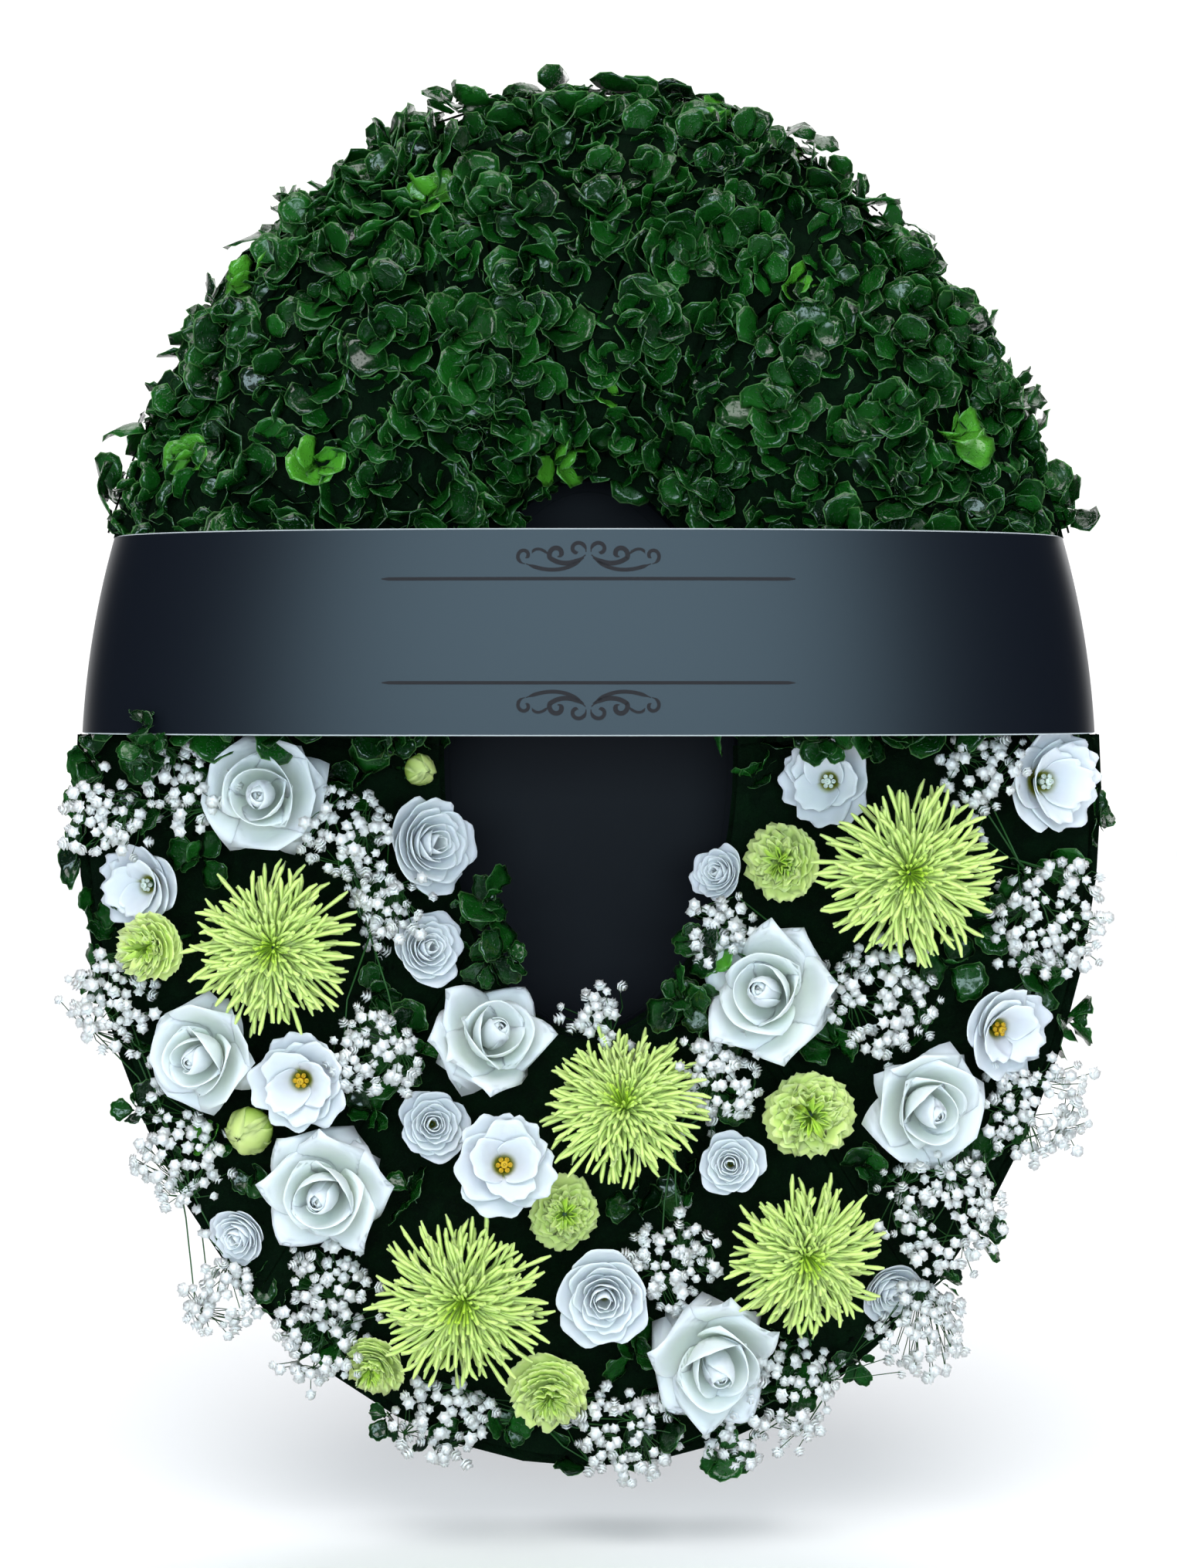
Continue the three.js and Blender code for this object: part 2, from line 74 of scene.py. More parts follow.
# ---------------------------------------------------------------- meshes
class Skin:
    """Points and faces gathered shape by shape into one mesh.

    Each point carries a "spot": how far along its petal or leaf it lies, how near the margin, and a
    value of its own petal or leaf, all from 0 to 1.
    """

    def __init__(self, *shapes):
        self.points, self.spots, self.count = [], [], 0
        self.faces = {3: [], 4: []}
        for shape in shapes:
            self.add(*shape)

    def add(self, points, spots=None, triangles=None, quads=None):
        for sides, faces in ((3, triangles), (4, quads)):
            if faces is not None and len(faces):
                self.faces[sides].append(np.asarray(faces) + self.count)
        self.points.append(points)
        self.spots.append(np.zeros_like(points) if spots is None else spots)
        self.count += len(points)

    def add_copies(self, templates, bases, origins, rng, values=None):
        """Copies a template chosen at random to each origin, turned to its base (rows of X, Y and Z)."""
        kind = rng.integers(len(templates), size=len(origins))
        for number, (points, spots, triangles, quads) in enumerate(templates):
            chosen = kind == number
            many = int(chosen.sum())
            if not many:
                continue
            own = rng.random(many) if values is None else values[chosen]
            placed = np.einsum("pk,nkj->npj", points, bases[chosen]) + origins[chosen][:, None]
            marked = np.repeat(spots[None], many, axis=0)
            marked[:, :, 2] = own[:, None]
            shift = (np.arange(many) * len(points))[:, None, None]
            self.add(
                placed.reshape(-1, 3), marked.reshape(-1, 3),
                (triangles + shift).reshape(-1, 3), (quads + shift).reshape(-1, 4),
            )

    def moved(self, change):
        self.points = [change(points) for points in self.points]

    def build(self, name, look, smooth=True):
        """The mesh as an object with a look."""
        groups = [(sides, faces) for sides, many in self.faces.items() for faces in many]
        loops = np.concatenate([faces.ravel() for _, faces in groups])
        sizes = np.concatenate([np.full(len(faces), sides) for sides, faces in groups])
        mesh = bpy.data.meshes.new(name)
        mesh.vertices.add(self.count)
        mesh.vertices.foreach_set("co", np.concatenate(self.points).astype(np.float32).ravel())
        mesh.loops.add(len(loops))
        mesh.loops.foreach_set("vertex_index", loops.astype(np.int32))
        mesh.polygons.add(len(sizes))
        mesh.polygons.foreach_set("loop_start", (np.cumsum(sizes) - sizes).astype(np.int32))
        mesh.polygons.foreach_set("loop_total", sizes.astype(np.int32))
        mesh.update(calc_edges=True)
        mesh.polygons.foreach_set("use_smooth", np.full(len(sizes), smooth))
        spot = mesh.attributes.new("spot", "FLOAT_VECTOR", "POINT")
        spot.data.foreach_set("vector", np.concatenate(self.spots).astype(np.float32).ravel())
        mesh.validate()
        mesh.materials.append(look_named(look))
        built = bpy.data.objects.new(name, mesh)
        bpy.context.scene.collection.objects.link(built)
        return built

    def piece(self, name, look, slot, replaced=None, smooth=True):
        mounted(self.build(name, look, smooth), replaced)


def mounted(piece, replaced=None):
    """Makes an object a piece of the wreath, in place of a plain solid where one is named."""
    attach(piece, "root")
    if replaced:
        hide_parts(replaced)


def unit(vectors):
    return vectors / np.maximum(np.linalg.norm(vectors, axis=-1, keepdims=True), 1e-12)


def circle(count):
    """Angles spread evenly over a full turn."""
    return 2 * math.pi * np.arange(count) / count


def polar(radius, turn, height):
    return np.stack(np.broadcast_arrays(radius * np.cos(turn), radius * np.sin(turn), height), -1)


def between(first, last, share):
    return np.asarray(first, float) * (1 - share) + np.asarray(last, float) * share


def smoothstep(low, high, value):
    t = np.clip((value - low) / (high - low), 0, 1)
    return t * t * (3 - 2 * t)


def bezier(points, share):
    """A curve through four control points, at each share of its length."""
    a, b, c, d = (np.asarray(p, float) for p in points)
    t = np.asarray(share, float)[..., None]
    return a * (1 - t) ** 3 + 3 * b * t * (1 - t) ** 2 + 3 * c * t**2 * (1 - t) + d * t**3


def grid_quads(rows, columns, around=False):
    """Faces of a grid of points, closed on itself along the columns where asked."""
    row = columns * np.arange(rows - 1)[:, None]
    column = np.arange(columns if around else columns - 1)
    after = (column + 1) % columns
    here, beside = row + column, row + after
    return np.stack([here, beside, beside + columns, here + columns], -1).reshape(-1, 4)


def rim_of(rows, columns):
    """The points round a grid's margin in order, and the one after each."""
    index = np.arange(rows * columns).reshape(rows, columns)
    rim = np.concatenate([index[0, :-1], index[:-1, -1], index[-1, :0:-1], index[:0:-1, 0]])
    return rim, np.roll(rim, -1)


def sheet_skin(grid, spots, thickness):
    """A grid of points made into a closed skin, thinner at its margin."""
    rows, columns = grid.shape[:2]
    normal = unit(np.cross(np.gradient(grid, axis=0), np.gradient(grid, axis=1)))
    depth = np.full((rows, columns, 1), thickness / 2)
    depth[[0, -1]] *= 0.4
    depth[:, [0, -1]] *= 0.4
    points = np.concatenate([grid + normal * depth, grid - normal * depth]).reshape(-1, 3)
    rim, after = rim_of(rows, columns)
    below = rows * columns
    face = grid_quads(rows, columns)
    edge = np.stack([after + below, rim + below, rim, after], -1)
    quads = np.concatenate([face[:, ::-1], face + below, edge])
    return points, np.tile(spots.reshape(-1, 3), (2, 1)), None, quads


def tube(path, radii, sides, value=0.0):
    """A round rod along a path, with a closed end at each side."""
    path = np.asarray(path, float)
    along = unit(np.gradient(path, axis=0))
    helper = np.where(np.abs(along[:, 2:3]) > 0.9, [[1.0, 0.0, 0.0]], [[0.0, 0.0, 1.0]])
    across = unit(np.cross(along, helper))
    other = np.cross(along, across)
    turn = circle(sides)[None, :, None]
    ring = np.cos(turn) * across[:, None] + np.sin(turn) * other[:, None]
    body = (path[:, None] + ring * np.broadcast_to(radii, len(path))[:, None, None]).reshape(-1, 3)
    around = np.arange(sides)
    after = (around + 1) % sides
    end = len(body) - sides
    first, last = np.full(sides, len(body)), np.full(sides, len(body) + 1)
    caps = [np.stack([after, around, first], -1), np.stack([end + around, end + after, last], -1)]
    level = np.append(np.repeat(np.linspace(0, 1, len(path)), sides), [0.0, 1.0])
    spots = np.stack([level, np.zeros_like(level), np.full_like(level, value)], -1)
    sleeve = grid_quads(len(path), sides, around=True)[:, ::-1]
    return np.concatenate([body, path[:1], path[-1:]]), spots, np.concatenate(caps), sleeve


# ---------------------------------------------------------------- reading the solids
def corners_of(node):
    """A solid's points, its triangles, and each triangle's normal, twice its area long."""
    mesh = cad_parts[node].data
    mesh.calc_loop_triangles()
    points = np.empty(len(mesh.vertices) * 3, np.float32)
    mesh.vertices.foreach_get("co", points)
    triangles = np.empty(len(mesh.loop_triangles) * 3, np.int32)
    mesh.loop_triangles.foreach_get("vertices", triangles)
    points, triangles = points.reshape(-1, 3).astype(float), triangles.reshape(-1, 3)
    a, b, c = points[triangles].transpose(1, 0, 2)
    return points, triangles, np.cross(b - a, c - a)


def scattered(node, spacing, tries, rng, wanted):
    """Points and normals spread over a solid's surface, at least a spacing apart, where wanted says so."""
    points, triangles, normal = corners_of(node)
    a, b, c = points[triangles].transpose(1, 0, 2)
    area = np.linalg.norm(normal, axis=1)
    chosen = rng.choice(len(triangles), tries, p=area / area.sum())
    u, v = rng.random((2, tries, 1))
    flip = u + v > 1
    u, v = np.where(flip, 1 - u, u), np.where(flip, 1 - v, v)
    spots = a[chosen] + u * (b - a)[chosen] + v * (c - a)[chosen]
    facing = unit(normal)[chosen]
    keep = wanted(spots, facing)
    spots, facing = spots[keep], facing[keep]
    taken = []
    for i, spot in enumerate(spots):
        if not taken or np.min(np.sum((spots[taken] - spot) ** 2, axis=1)) > spacing**2:
            taken.append(i)
    return spots[taken], facing[taken]


def foot_of(points):
    """The middle of a stem's part inside the foam, and which points are in it."""
    in_foam = points[:, 1] > -FOAM_FRONT
    return points[in_foam].mean(axis=0), in_foam


class Head:
    """Where a flower's head is, read from its solid: the middle of its base, its axes and its size."""

    def __init__(self, node):
        points, _, _ = corners_of(node)
        self.node = node
        self.foot, in_foam = foot_of(points)
        self.axis = unit(points[~in_foam].mean(axis=0) - self.foot)
        along = (points - self.foot) @ self.axis
        away = np.linalg.norm(points - self.foot - along[:, None] * self.axis, axis=1)
        self.stem = away[in_foam].max()
        wide = away > self.stem * 1.4
        self.radius = away[wide].max()
        start = along[wide].min()
        self.base = self.foot + self.axis * start
        self.height = along.max() - start
        side = unit(np.cross([0.0, 0.0, 1.0], self.axis))
        self.axes = np.stack([side, np.cross(self.axis, side), self.axis])

    def placed(self, points):
        """Points of a head of radius 1 that faces +Z, brought to this head's place."""
        return points * self.radius @ self.axes + self.base

    def carrying(self, shape):
        """A shape made for a head of radius 1, with its points brought to this head's place."""
        points, *rest = shape
        return self.placed(points), *rest


# ---------------------------------------------------------------- shader maths
class Sockets:
    """Makes the nodes of one material or world, so that its maths reads as maths."""

    def __init__(self, tree):
        self.tree = tree
        tree.nodes.clear()

    def node(self, kind, inputs=None, output=0, **settings):
        made = self.tree.nodes.new(kind)
        for key, value in settings.items():
            setattr(made, key, value)
        for key, value in (inputs or {}).items():
            if isinstance(value, Value):
                self.tree.links.new(value.socket, made.inputs[key])
            else:
                made.inputs[key].default_value = value
        return Value(self, made.outputs[output]) if len(made.outputs) else None

    def maths(self, operation, *values):
        return self.node("ShaderNodeMath", dict(enumerate(values)), operation=operation)

    def mix(self, share, first, second):
        """A colour between two others."""
        inputs = {"Factor": share, 6: first, 7: second}
        return self.node("ShaderNodeMix", inputs, output=2, data_type="RGBA")

    def ramp(self, value, low, high):
        """0 below low, 1 above high, and smooth between."""
        inputs = {"Value": value, "From Min": low, "From Max": high}
        return self.node("ShaderNodeMapRange", inputs, interpolation_type="SMOOTHSTEP")

    def noise(self, scale, detail):
        """Grain over the surface, so many to the metre."""
        place = self.node("ShaderNodeTexCoord", output="Object")
        return self.node("ShaderNodeTexNoise", {"Scale": scale, "Detail": detail, "Vector": place})

    def spot(self):
        """How far along, how near the margin, and the leaf's or petal's own value."""
        spot = self.node("ShaderNodeAttribute", output="Vector", attribute_name="spot")
        return [self.node("ShaderNodeSeparateXYZ", {0: spot}, output=i) for i in range(3)]


class Value:
    """One output socket, with the arithmetic that a shader needs."""

    def __init__(self, sockets, socket):
        self.sockets, self.socket = sockets, socket

    def __add__(self, other):
        return self.sockets.maths("ADD", self, other)

    def __sub__(self, other):
        return self.sockets.maths("SUBTRACT", self, other)

    def __mul__(self, other):
        return self.sockets.maths("MULTIPLY", self, other)

    def __rsub__(self, other):
        return self.sockets.maths("SUBTRACT", other, self)

    __radd__ = __add__
    __rmul__ = __mul__


def paint_leaf(s, tone):
    """A glossy leaf with a mottled face and a pale edge."""
    _, rim, value = s.spot()
    mottle = s.ramp(s.noise(26.0, 2.0), 0.36, 0.68)
    fresh = s.ramp(value, 0.1, 0.86) * 0.7
    grown = s.mix(mottle * 0.5 + fresh * 0.6, tone["leaf_dark"], tone["leaf_mid"])
    base = s.mix(s.ramp(value, 0.88, 0.99), grown, tone["leaf_young"])
    edge = s.ramp(rim, 0.9, 1.0)
    return {
        "Base Color": s.mix(edge * 0.6, base, tone["leaf_margin"]),
        "Roughness": 0.13 + 0.17 * mottle + 0.3 * edge,
        "Specular IOR Level": 0.5,
        "Coat Weight": 0.24 - 0.22 * edge,
        "Coat Roughness": 0.08,
        "Bump": (s.ramp(s.noise(520.0, 2.0), 0.55, 0.7), 0.55, 0.0011),
    }


def paint_undergrowth_and_shade(s, tone):
    """The dark mass under the leaves, coloured near black as painted shade between them."""
    mottle = s.noise(90.0, 4.0)
    return {
        "Base Color": s.mix(mottle, tone["gap"], tone["leaf_dark"]),
        "Roughness": 0.9,
        "Specular IOR Level": 0.08,
        "Bump": (mottle, 0.8, 0.01),
    }


def paint_petal(s, tone, inner, outer, heart, throat=0.3):
    """A petal that goes from its heart's colour through an inner to an outer colour."""
    along, _, value = s.spot()
    body = s.mix(s.ramp(along, 0.35, 0.95), tone[inner], tone[outer])
    shade = s.mix(s.ramp(value, 0.0, 0.45), tone[heart], body)
    return {
        "Base Color": s.mix(s.ramp(along, throat - 0.22, throat), tone[heart], shade),
        "Roughness": 0.55,
        "Specular IOR Level": 0.25,
        "Subsurface Weight": 0.6,
        "Subsurface Radius": (0.7, 0.8, 0.6),
        "Subsurface Scale": 0.006,
        "Bump": (s.noise(180.0, 3.0), 0.3, 0.0008),
    }


def paint_plain(s, tone, colour, other, roughness, grain=80.0, depth=0.0003, inputs=()):
    """One finish with a fine grain, its colour wandering slightly towards another."""
    grained = s.noise(grain, 4.0)
    return {
        "Base Color": s.mix(grained, tone[colour], tone[other]),
        "Roughness": roughness,
        "Bump": (grained, 0.2, depth),
        **dict(inputs),
    }


# How each material is painted: a petal's inner, outer and heart colour and where its throat ends, or
# a plain finish's two colours, roughness, grain to the metre, depth of the grain and other inputs.
FINISHES = {
    "leaf": (paint_leaf,),
    # The undergrowth is painted near black: painted shade between the leaves.
    "undergrowth": (paint_undergrowth_and_shade,),
    "rose": (paint_petal, "rose_inner", "rose_outer", "rose_inner"),
    "lisianthus": (paint_petal, "lisianthus_petal", "lisianthus_petal", "lisianthus_heart", 0.42),
    "bud": (paint_petal, "carnation_heart", "carnation_petal", "stalk"),
    "mum": (paint_petal, "mum_petal", "mum_petal", "mum_heart"),
    "carnation": (paint_petal, "carnation_petal", "carnation_petal", "carnation_heart"),
    "floret": (paint_petal, "floret", "floret", "floret"),
    "stamen": (paint_plain, "stamen", "stamen", 0.6),
    "stalk": (paint_plain, "stalk", "leaf_mid", 0.5, 300.0),
    "band": (
        paint_plain, "band", "band", 0.4, 500.0, 0.0001,
        {"Specular IOR Level": 0.56, "Specular Tint": (0.78, 0.88, 1.0, 1.0)},
    ),
    "cut_edge": (paint_plain, "cut_edge", "cut_edge", 0.7),
    "ornament": (paint_plain, "ornament", "ornament", 0.8, 80.0, 0.0003, {"Specular IOR Level": 0.1}),
    "board": (paint_plain, "board", "band", 0.6, 40.0, 0.0006, {"Specular IOR Level": 0.15}),
    "strip": (paint_plain, "board", "band", 0.5, 30.0, 0.0008, {"Specular IOR Level": 0.2}),
    # The foam is painted between the dark leaf tone and the near-black painted shade of the gaps.
    "foam": (paint_plain, "leaf_dark", "gap", 0.95, 900.0, 0.002),
    "pin": (paint_plain, "board", "board", 0.25),
    "wire": (paint_plain, "wire", "wire", 0.35, 200.0, 0.0001, {"Metallic": 1.0}),
    "floor": (paint_plain, "floor", "floor_grain", 0.9, 3.0),
}
FLOOR_TONES = {"floor": (0.97, 0.97, 0.975, 1.0), "floor_grain": (0.95, 0.95, 0.96, 1.0)}


def look_named(name):
    return bpy.data.materials[f"wreath_{name}"]


def make_looks(scene):
    """Makes every material that isn't there yet from the colours of the settings."""
    tone = dict(FLOOR_TONES)
    for key in GROUPS:
        group = getattr(scene, key)
        for name, setting in group.bl_rna.properties.items():
            if getattr(setting, "array_length", 0) == 3:
                tone[name] = (*getattr(group, name), 1.0)
    for name, (paint, *finish) in FINISHES.items():
        if f"wreath_{name}" in bpy.data.materials:
            continue
        made = bpy.data.materials.new(f"wreath_{name}")
        made.use_nodes = True
        s = Sockets(made.node_tree)
        inputs = paint(s, tone, *finish)
        height, strength, distance = inputs.pop("Bump")
        bump = {"Height": height, "Strength": strength, "Distance": distance}
        inputs["Normal"] = s.node("ShaderNodeBump", bump)
        s.node("ShaderNodeOutputMaterial", {"Surface": s.node("ShaderNodeBsdfPrincipled", inputs)})


# ---------------------------------------------------------------- settings
def linear(red, green, blue):
    """A colour given as 0 to 255 on a screen, as the renderer's linear values."""
    shares = (c / 255 for c in (red, green, blue))
    return tuple(c / 12.92 if c < 11 / 255 else ((c + 0.055) / 1.055) ** 2.4 for c in shares)


def colour(name, screen, description):
    return bpy.props.FloatVectorProperty(
        name=name, description=description, subtype="COLOR", size=3, min=0, max=1, default=linear(*screen)
    )


def length(name, millimetres, description):
    return bpy.props.FloatProperty(
        name=name, description=description, unit="LENGTH", min=0.0001, default=millimetres * MM
    )


def amount(name, default, description):
    return bpy.props.FloatProperty(name=name, description=description, default=default)


class WreathFoliage(bpy.types.PropertyGroup):
    """Leaves of the dome and the bed"""

    leaf_length: length("Leaf length", 28, "Length of a full-grown leaf")
    sprig_spacing: length("Sprig spacing", 24, "Least distance between two sprigs of the dome")
    bed_spacing: length("Bed spacing", 36, "Least distance between two sprigs among the flowers")
    sunk: length("Sprig depth", 20, "How far under the solid's surface a dome sprig starts")
    leaf_dark: colour("Dark leaf", (3, 26, 7), "Darkest tone of a leaf")
    leaf_mid: colour("Leaf", (20, 86, 20), "Middle tone of a leaf")
    leaf_young: colour("Young leaf", (70, 140, 36), "Tone of the few young leaves")
    leaf_margin: colour("Leaf margin", (104, 164, 88), "Pale scalloped edge of a leaf")
    # Near-black painted shade between the leaves, used on the undergrowth and on the foam.
    gap: colour("Gap", (2, 4, 3), "What shows between the leaves")
    seed: bpy.props.IntProperty(name="Seed", description="Arrangement of the leaves", default=7)


class WreathFlowers(bpy.types.PropertyGroup):
    """Cut flowers"""

    petal_thickness: length("Petal thickness", 0.7, "Thickness of a petal at its middle")
    quill_radius: length("Quill radius", 1.2, "Radius of one petal of a spider chrysanthemum")
    floret_size: length("Floret size", 10.4, "Width of one floret of baby's breath")
    floret_spacing: length("Floret spacing", 6.2, "Least distance between two florets")
    rose_inner: colour("Rose heart", (214, 222, 212), "Inner petals of a rose")
    rose_outer: colour("Rose", (222, 229, 230), "Outer petals of a rose")
    lisianthus_petal: colour("Lisianthus", (220, 225, 229), "Petals of a lisianthus")
    lisianthus_heart: colour("Lisianthus heart", (138, 142, 40), "Throat of a lisianthus")
    stamen: colour("Stamen", (214, 168, 20), "Middle of a single lisianthus")
    mum_petal: colour("Spider chrysanthemum", (200, 224, 128), "Quills of a spider chrysanthemum")
    mum_heart: colour("Chrysanthemum heart", (172, 208, 60), "Young quills and the quills' feet")
    carnation_petal: colour("Carnation", (206, 228, 130), "Petals of a carnation")
    carnation_heart: colour("Carnation heart", (158, 198, 62), "Middle of a carnation")
    stalk: colour("Stalk", (40, 76, 32), "Stalks, sepals and calyxes")
    floret: colour("Floret", (250, 250, 246), "Florets of baby's breath")
    seed: bpy.props.IntProperty(name="Seed", description="Variation of the petals", default=3)


class WreathBand(bpy.types.PropertyGroup):
    """Message band, board and strips"""

    bulge: length("Bulge", 134, "How far the band's middle stands out from its straight sides")
    side_depth: length("Side depth", 68, "Depth at which the band starts to bend")
    power: amount("Flatness", 2.3, "2 bends the band to an ellipse")
    rule_length: length("Rule length", 280, "Length of the two thin rules")
    rule_gap: length("Rule gap", 70, "Distance between the two rules")
    band: colour("Band", (6, 9, 18), "Board of the band")
    cut_edge: colour("Cut edge", (196, 202, 208), "Bare cut edge of the band")
    ornament: colour("Ornament", (40, 39, 42), "Rules and scrolls on the band")
    board: colour("Board", (6, 7, 17), "Back board and strips")
    wire: colour("Wire", (170, 174, 178), "Hanging loop and staples")


class WreathStage(bpy.types.PropertyGroup):
    """Camera, lights and floor"""

    distance: length("Camera distance", 2100, "Distance from the camera to the flowers")
    camera_height: length("Camera height", 73, "Height of the camera over the board's centre")
    lens: amount("Lens", 68.7, "Focal length in millimetres")
    floor_drop: length("Floor drop", 545, "How far the floor lies under the board's centre")
    sun: amount("Sun", 2.1, "Strength of the soft sun from above")
    high_sun: amount("High sun", 1.15, "Strength of the soft sun from behind")
    fill: amount("Fill", 0.4, "Strength of the soft sun from the front")
    front: amount("Front light", 80.0, "Power of the soft light by the camera")
    rear: amount("Rear light", 12.0, "Power of the light behind the wreath")


GROUPS = {
    "wreath_foliage": WreathFoliage,
    "wreath_flowers": WreathFlowers,
    "wreath_band": WreathBand,
    "wreath_stage": WreathStage,
}


# ---------------------------------------------------------------- petals
# The form that a petal has where nothing else is said.
PLAIN_PETAL = {
    "rounding": 0.22, "point": 0.0, "teeth": 0.0, "roll": 0.0, "curl": 0.0, "ruffle": 0.0, "sideways": 0.6,
}


def petal(curve, width, turn, rows, columns, waves=2.0, phase=0.0, value=1.0, **form):
    """The grid of one petal of a head of radius 1 that faces +Z, and its spots.

    curve is its middle line as four control points (radius, height) and width half its breadth.
    form may round or point its tip, cut teeth in its margin, roll or curl its sides back, or ruffle it.
    """
    form = PLAIN_PETAL | form
    v = np.linspace(0, 1, rows)[:, None]
    u = np.linspace(-1, 1, columns)
    side = np.abs(u)
    teeth = form["teeth"] * v**4 * np.where(np.arange(columns) % 2, 1.0, -1.0)
    reach = v * (1 - form["rounding"] * side**2.4) + form["point"] * v**3 * (1 - side) ** 2 + teeth
    radius, height = np.moveaxis(bezier(curve, reach), -1, 0)
    breadth = width * np.sin(math.pi * (0.1 + 0.62 * v)) ** 0.7
    angle = np.clip(u * breadth / np.maximum(radius, 0.14), -1.75, 1.75)
    roll = form["roll"] * side**3 * v**2
    curl = form["curl"] * side**2 * v**3
    ruffle = form["ruffle"] * v**2 * (0.35 + 0.65 * side) * np.sin(u * math.pi * waves + phase)
    radius = radius + roll + ruffle * form["sideways"]
    height = height - roll * 0.6 - curl + ruffle
    spots = np.stack(np.broadcast_arrays(v, np.maximum(side**4, v**6), value), -1)
    return polar(radius, angle + turn, height), spots


def whorl(
    skin, head, look, rng, many, first, last, turn,
    rows=11, columns=11, waves=(0.5, 1.3), heart=1.0, reach=0.03, sway=0.15,
):
    """Petals set round a head in a spiral, from the first, innermost one's form to the last one's."""
    first, last = PLAIN_PETAL | first, PLAIN_PETAL | last
    for k in range(many):
        share = k / (many - 1)
        form = {key: between(first[key], last[key], share) for key in first}
        curve = form["curve"]
        form["width"] *= rng.uniform(0.92, 1.08)
        curve[2:] *= rng.uniform(0.99 - reach, 1.03)
        form["turn"] = k * GOLDEN_ANGLE + rng.uniform(-sway, sway) + turn
        curve[2:, 1] += rng.uniform(-0.2, 0.2) * sway
        grid, spots = petal(
            rows=rows, columns=columns, waves=rng.uniform(*waves), phase=rng.uniform(*ANY_TURN),
            value=between(heart, 1.0, min(1.0, share * 2.5)), **form,
        )
        skin.add(*head.carrying(sheet_skin(grid, spots, look.petal_thickness / head.radius)))


def stalk_of(head):
    """The stem below a head with its swelling, from inside the foam to the head's base."""
    share = np.array([0.0, 0.5, 0.86, 0.95, 1.0])[:, None]
    path = between(head.foot, head.base + head.axis * 0.12 * head.radius, share)
    return tube(path, np.array([1.0, 1.0, 1.0, 1.5, 2.0]) * head.stem * 0.85, 8)


def sepals(skin, head, reach, rng):
    """Five narrow green leaves that hold a head from below."""
    for turn in circle(5):
        curve = [(0.1, -0.02), (0.34, -0.04), (0.72 * reach, -0.04), (reach, rng.uniform(-0.06, 0.06))]
        grid, spots = petal(curve, 0.14, turn + rng.uniform(-0.1, 0.1), 7, 5, rounding=0.75)
        skin.add(*head.carrying(sheet_skin(grid, spots, 0.02)))


# Each tier of petals: how many, the forms of its innermost and its outermost petal, how pointed
# they all are, and how far from the heart's colour the innermost one is.
ROSE_TIERS = (
    (
        8,
        {"curve": [(0.02, 0.1), (0.16, 0.3), (0.2, 0.84), (0.0, 1.08)], "width": 0.34},
        {"curve": [(0.04, 0.06), (0.26, 0.2), (0.34, 0.8), (0.17, 1.08)], "width": 0.54, "roll": 0.03},
        0.05, 0.0,
    ),
    (
        5,
        {"curve": [(0.06, 0.04), (0.36, 0.12), (0.46, 0.75), (0.4, 1.02)], "width": 0.66, "roll": 0.1},
        {"curve": [(0.06, 0.02), (0.46, 0.06), (0.6, 0.7), (0.66, 0.94)], "width": 0.76, "roll": 0.16},
        0.12, 0.45,
    ),
    (
        6,
        {"curve": [(0.08, 0.02), (0.6, 0.04), (0.74, 0.56), (0.92, 0.78)], "width": 0.84, "roll": 0.26},
        {"curve": [(0.08, 0.0), (0.62, 0.0), (0.86, 0.4), (1.04, 0.5)], "width": 0.9, "roll": 0.34},
        0.14, 1.0,
    ),
)
STAR_ROSES = ("rose_3", "rose_4", "rose_5", "rose_7")
STAR_FORM = {"point": 0.42, "rounding": 0.5, "curl": 0.3}


def rose(head, petals, green, rng, look):
    start = rng.uniform(*ANY_TURN)
    for number, (many, first, last, point, heart) in enumerate(ROSE_TIERS):
        shape = {"point": point, "ruffle": 0.03 * number}
        if head.node in STAR_ROSES and number == 2:
            shape |= STAR_FORM
        turn = start + number * 0.9
        whorl(petals, head, look, rng, many, first | shape, last | shape, turn, heart=heart)
    sepals(green, head, 0.72, rng)


SINGLE_TIERS = (
    (
        4,
        {"curve": [(0.06, 0.02), (0.24, 0.3), (0.42, 0.74), (0.66, 0.96)], "width": 0.6, "ruffle": 0.08},
        {"curve": [(0.06, 0.02), (0.28, 0.28), (0.5, 0.7), (0.82, 0.92)], "width": 0.7, "ruffle": 0.08},
    ),
    (
        5,
        {"curve": [(0.08, 0.0), (0.36, 0.22), (0.68, 0.6), (0.98, 0.84)], "width": 0.84, "ruffle": 0.13},
        {"curve": [(0.08, 0.0), (0.4, 0.16), (0.78, 0.5), (1.06, 0.66)], "width": 0.9, "ruffle": 0.13},
    ),
)
DOUBLE_FIRST = {"curve": [(0.03, 0.1), (0.14, 0.3), (0.18, 0.7), (0.1, 0.98)], "width": 0.3, "ruffle": 0.03}
DOUBLE_LAST = {
    "curve": [(0.08, 0.02), (0.56, 0.04), (0.86, 0.44), (1.08, 0.62)], "width": 0.78, "ruffle": 0.07,
}
YELLOW_HEARTED = ("lisianthus_3", "lisianthus_5", "lisianthus_8")


def is_double(head):
    return head.height > 0.96 * head.radius


def lisianthus(head, petals, green, rng, look):
    start = rng.uniform(*ANY_TURN)
    if is_double(head):
        whorl(
            petals, head, look, rng, 24, DOUBLE_FIRST, DOUBLE_LAST, start,
            rows=9, columns=13, waves=(1.4, 2.8), heart=0.36,
        )
    else:
        for number, (many, first, last) in enumerate(SINGLE_TIERS):
            whorl(
                petals, head, look, rng, many, first, last, start + number * 0.7,
                rows=12, columns=19, waves=(2.4, 4.2),
            )
    sepals(green, head, 0.5, rng)


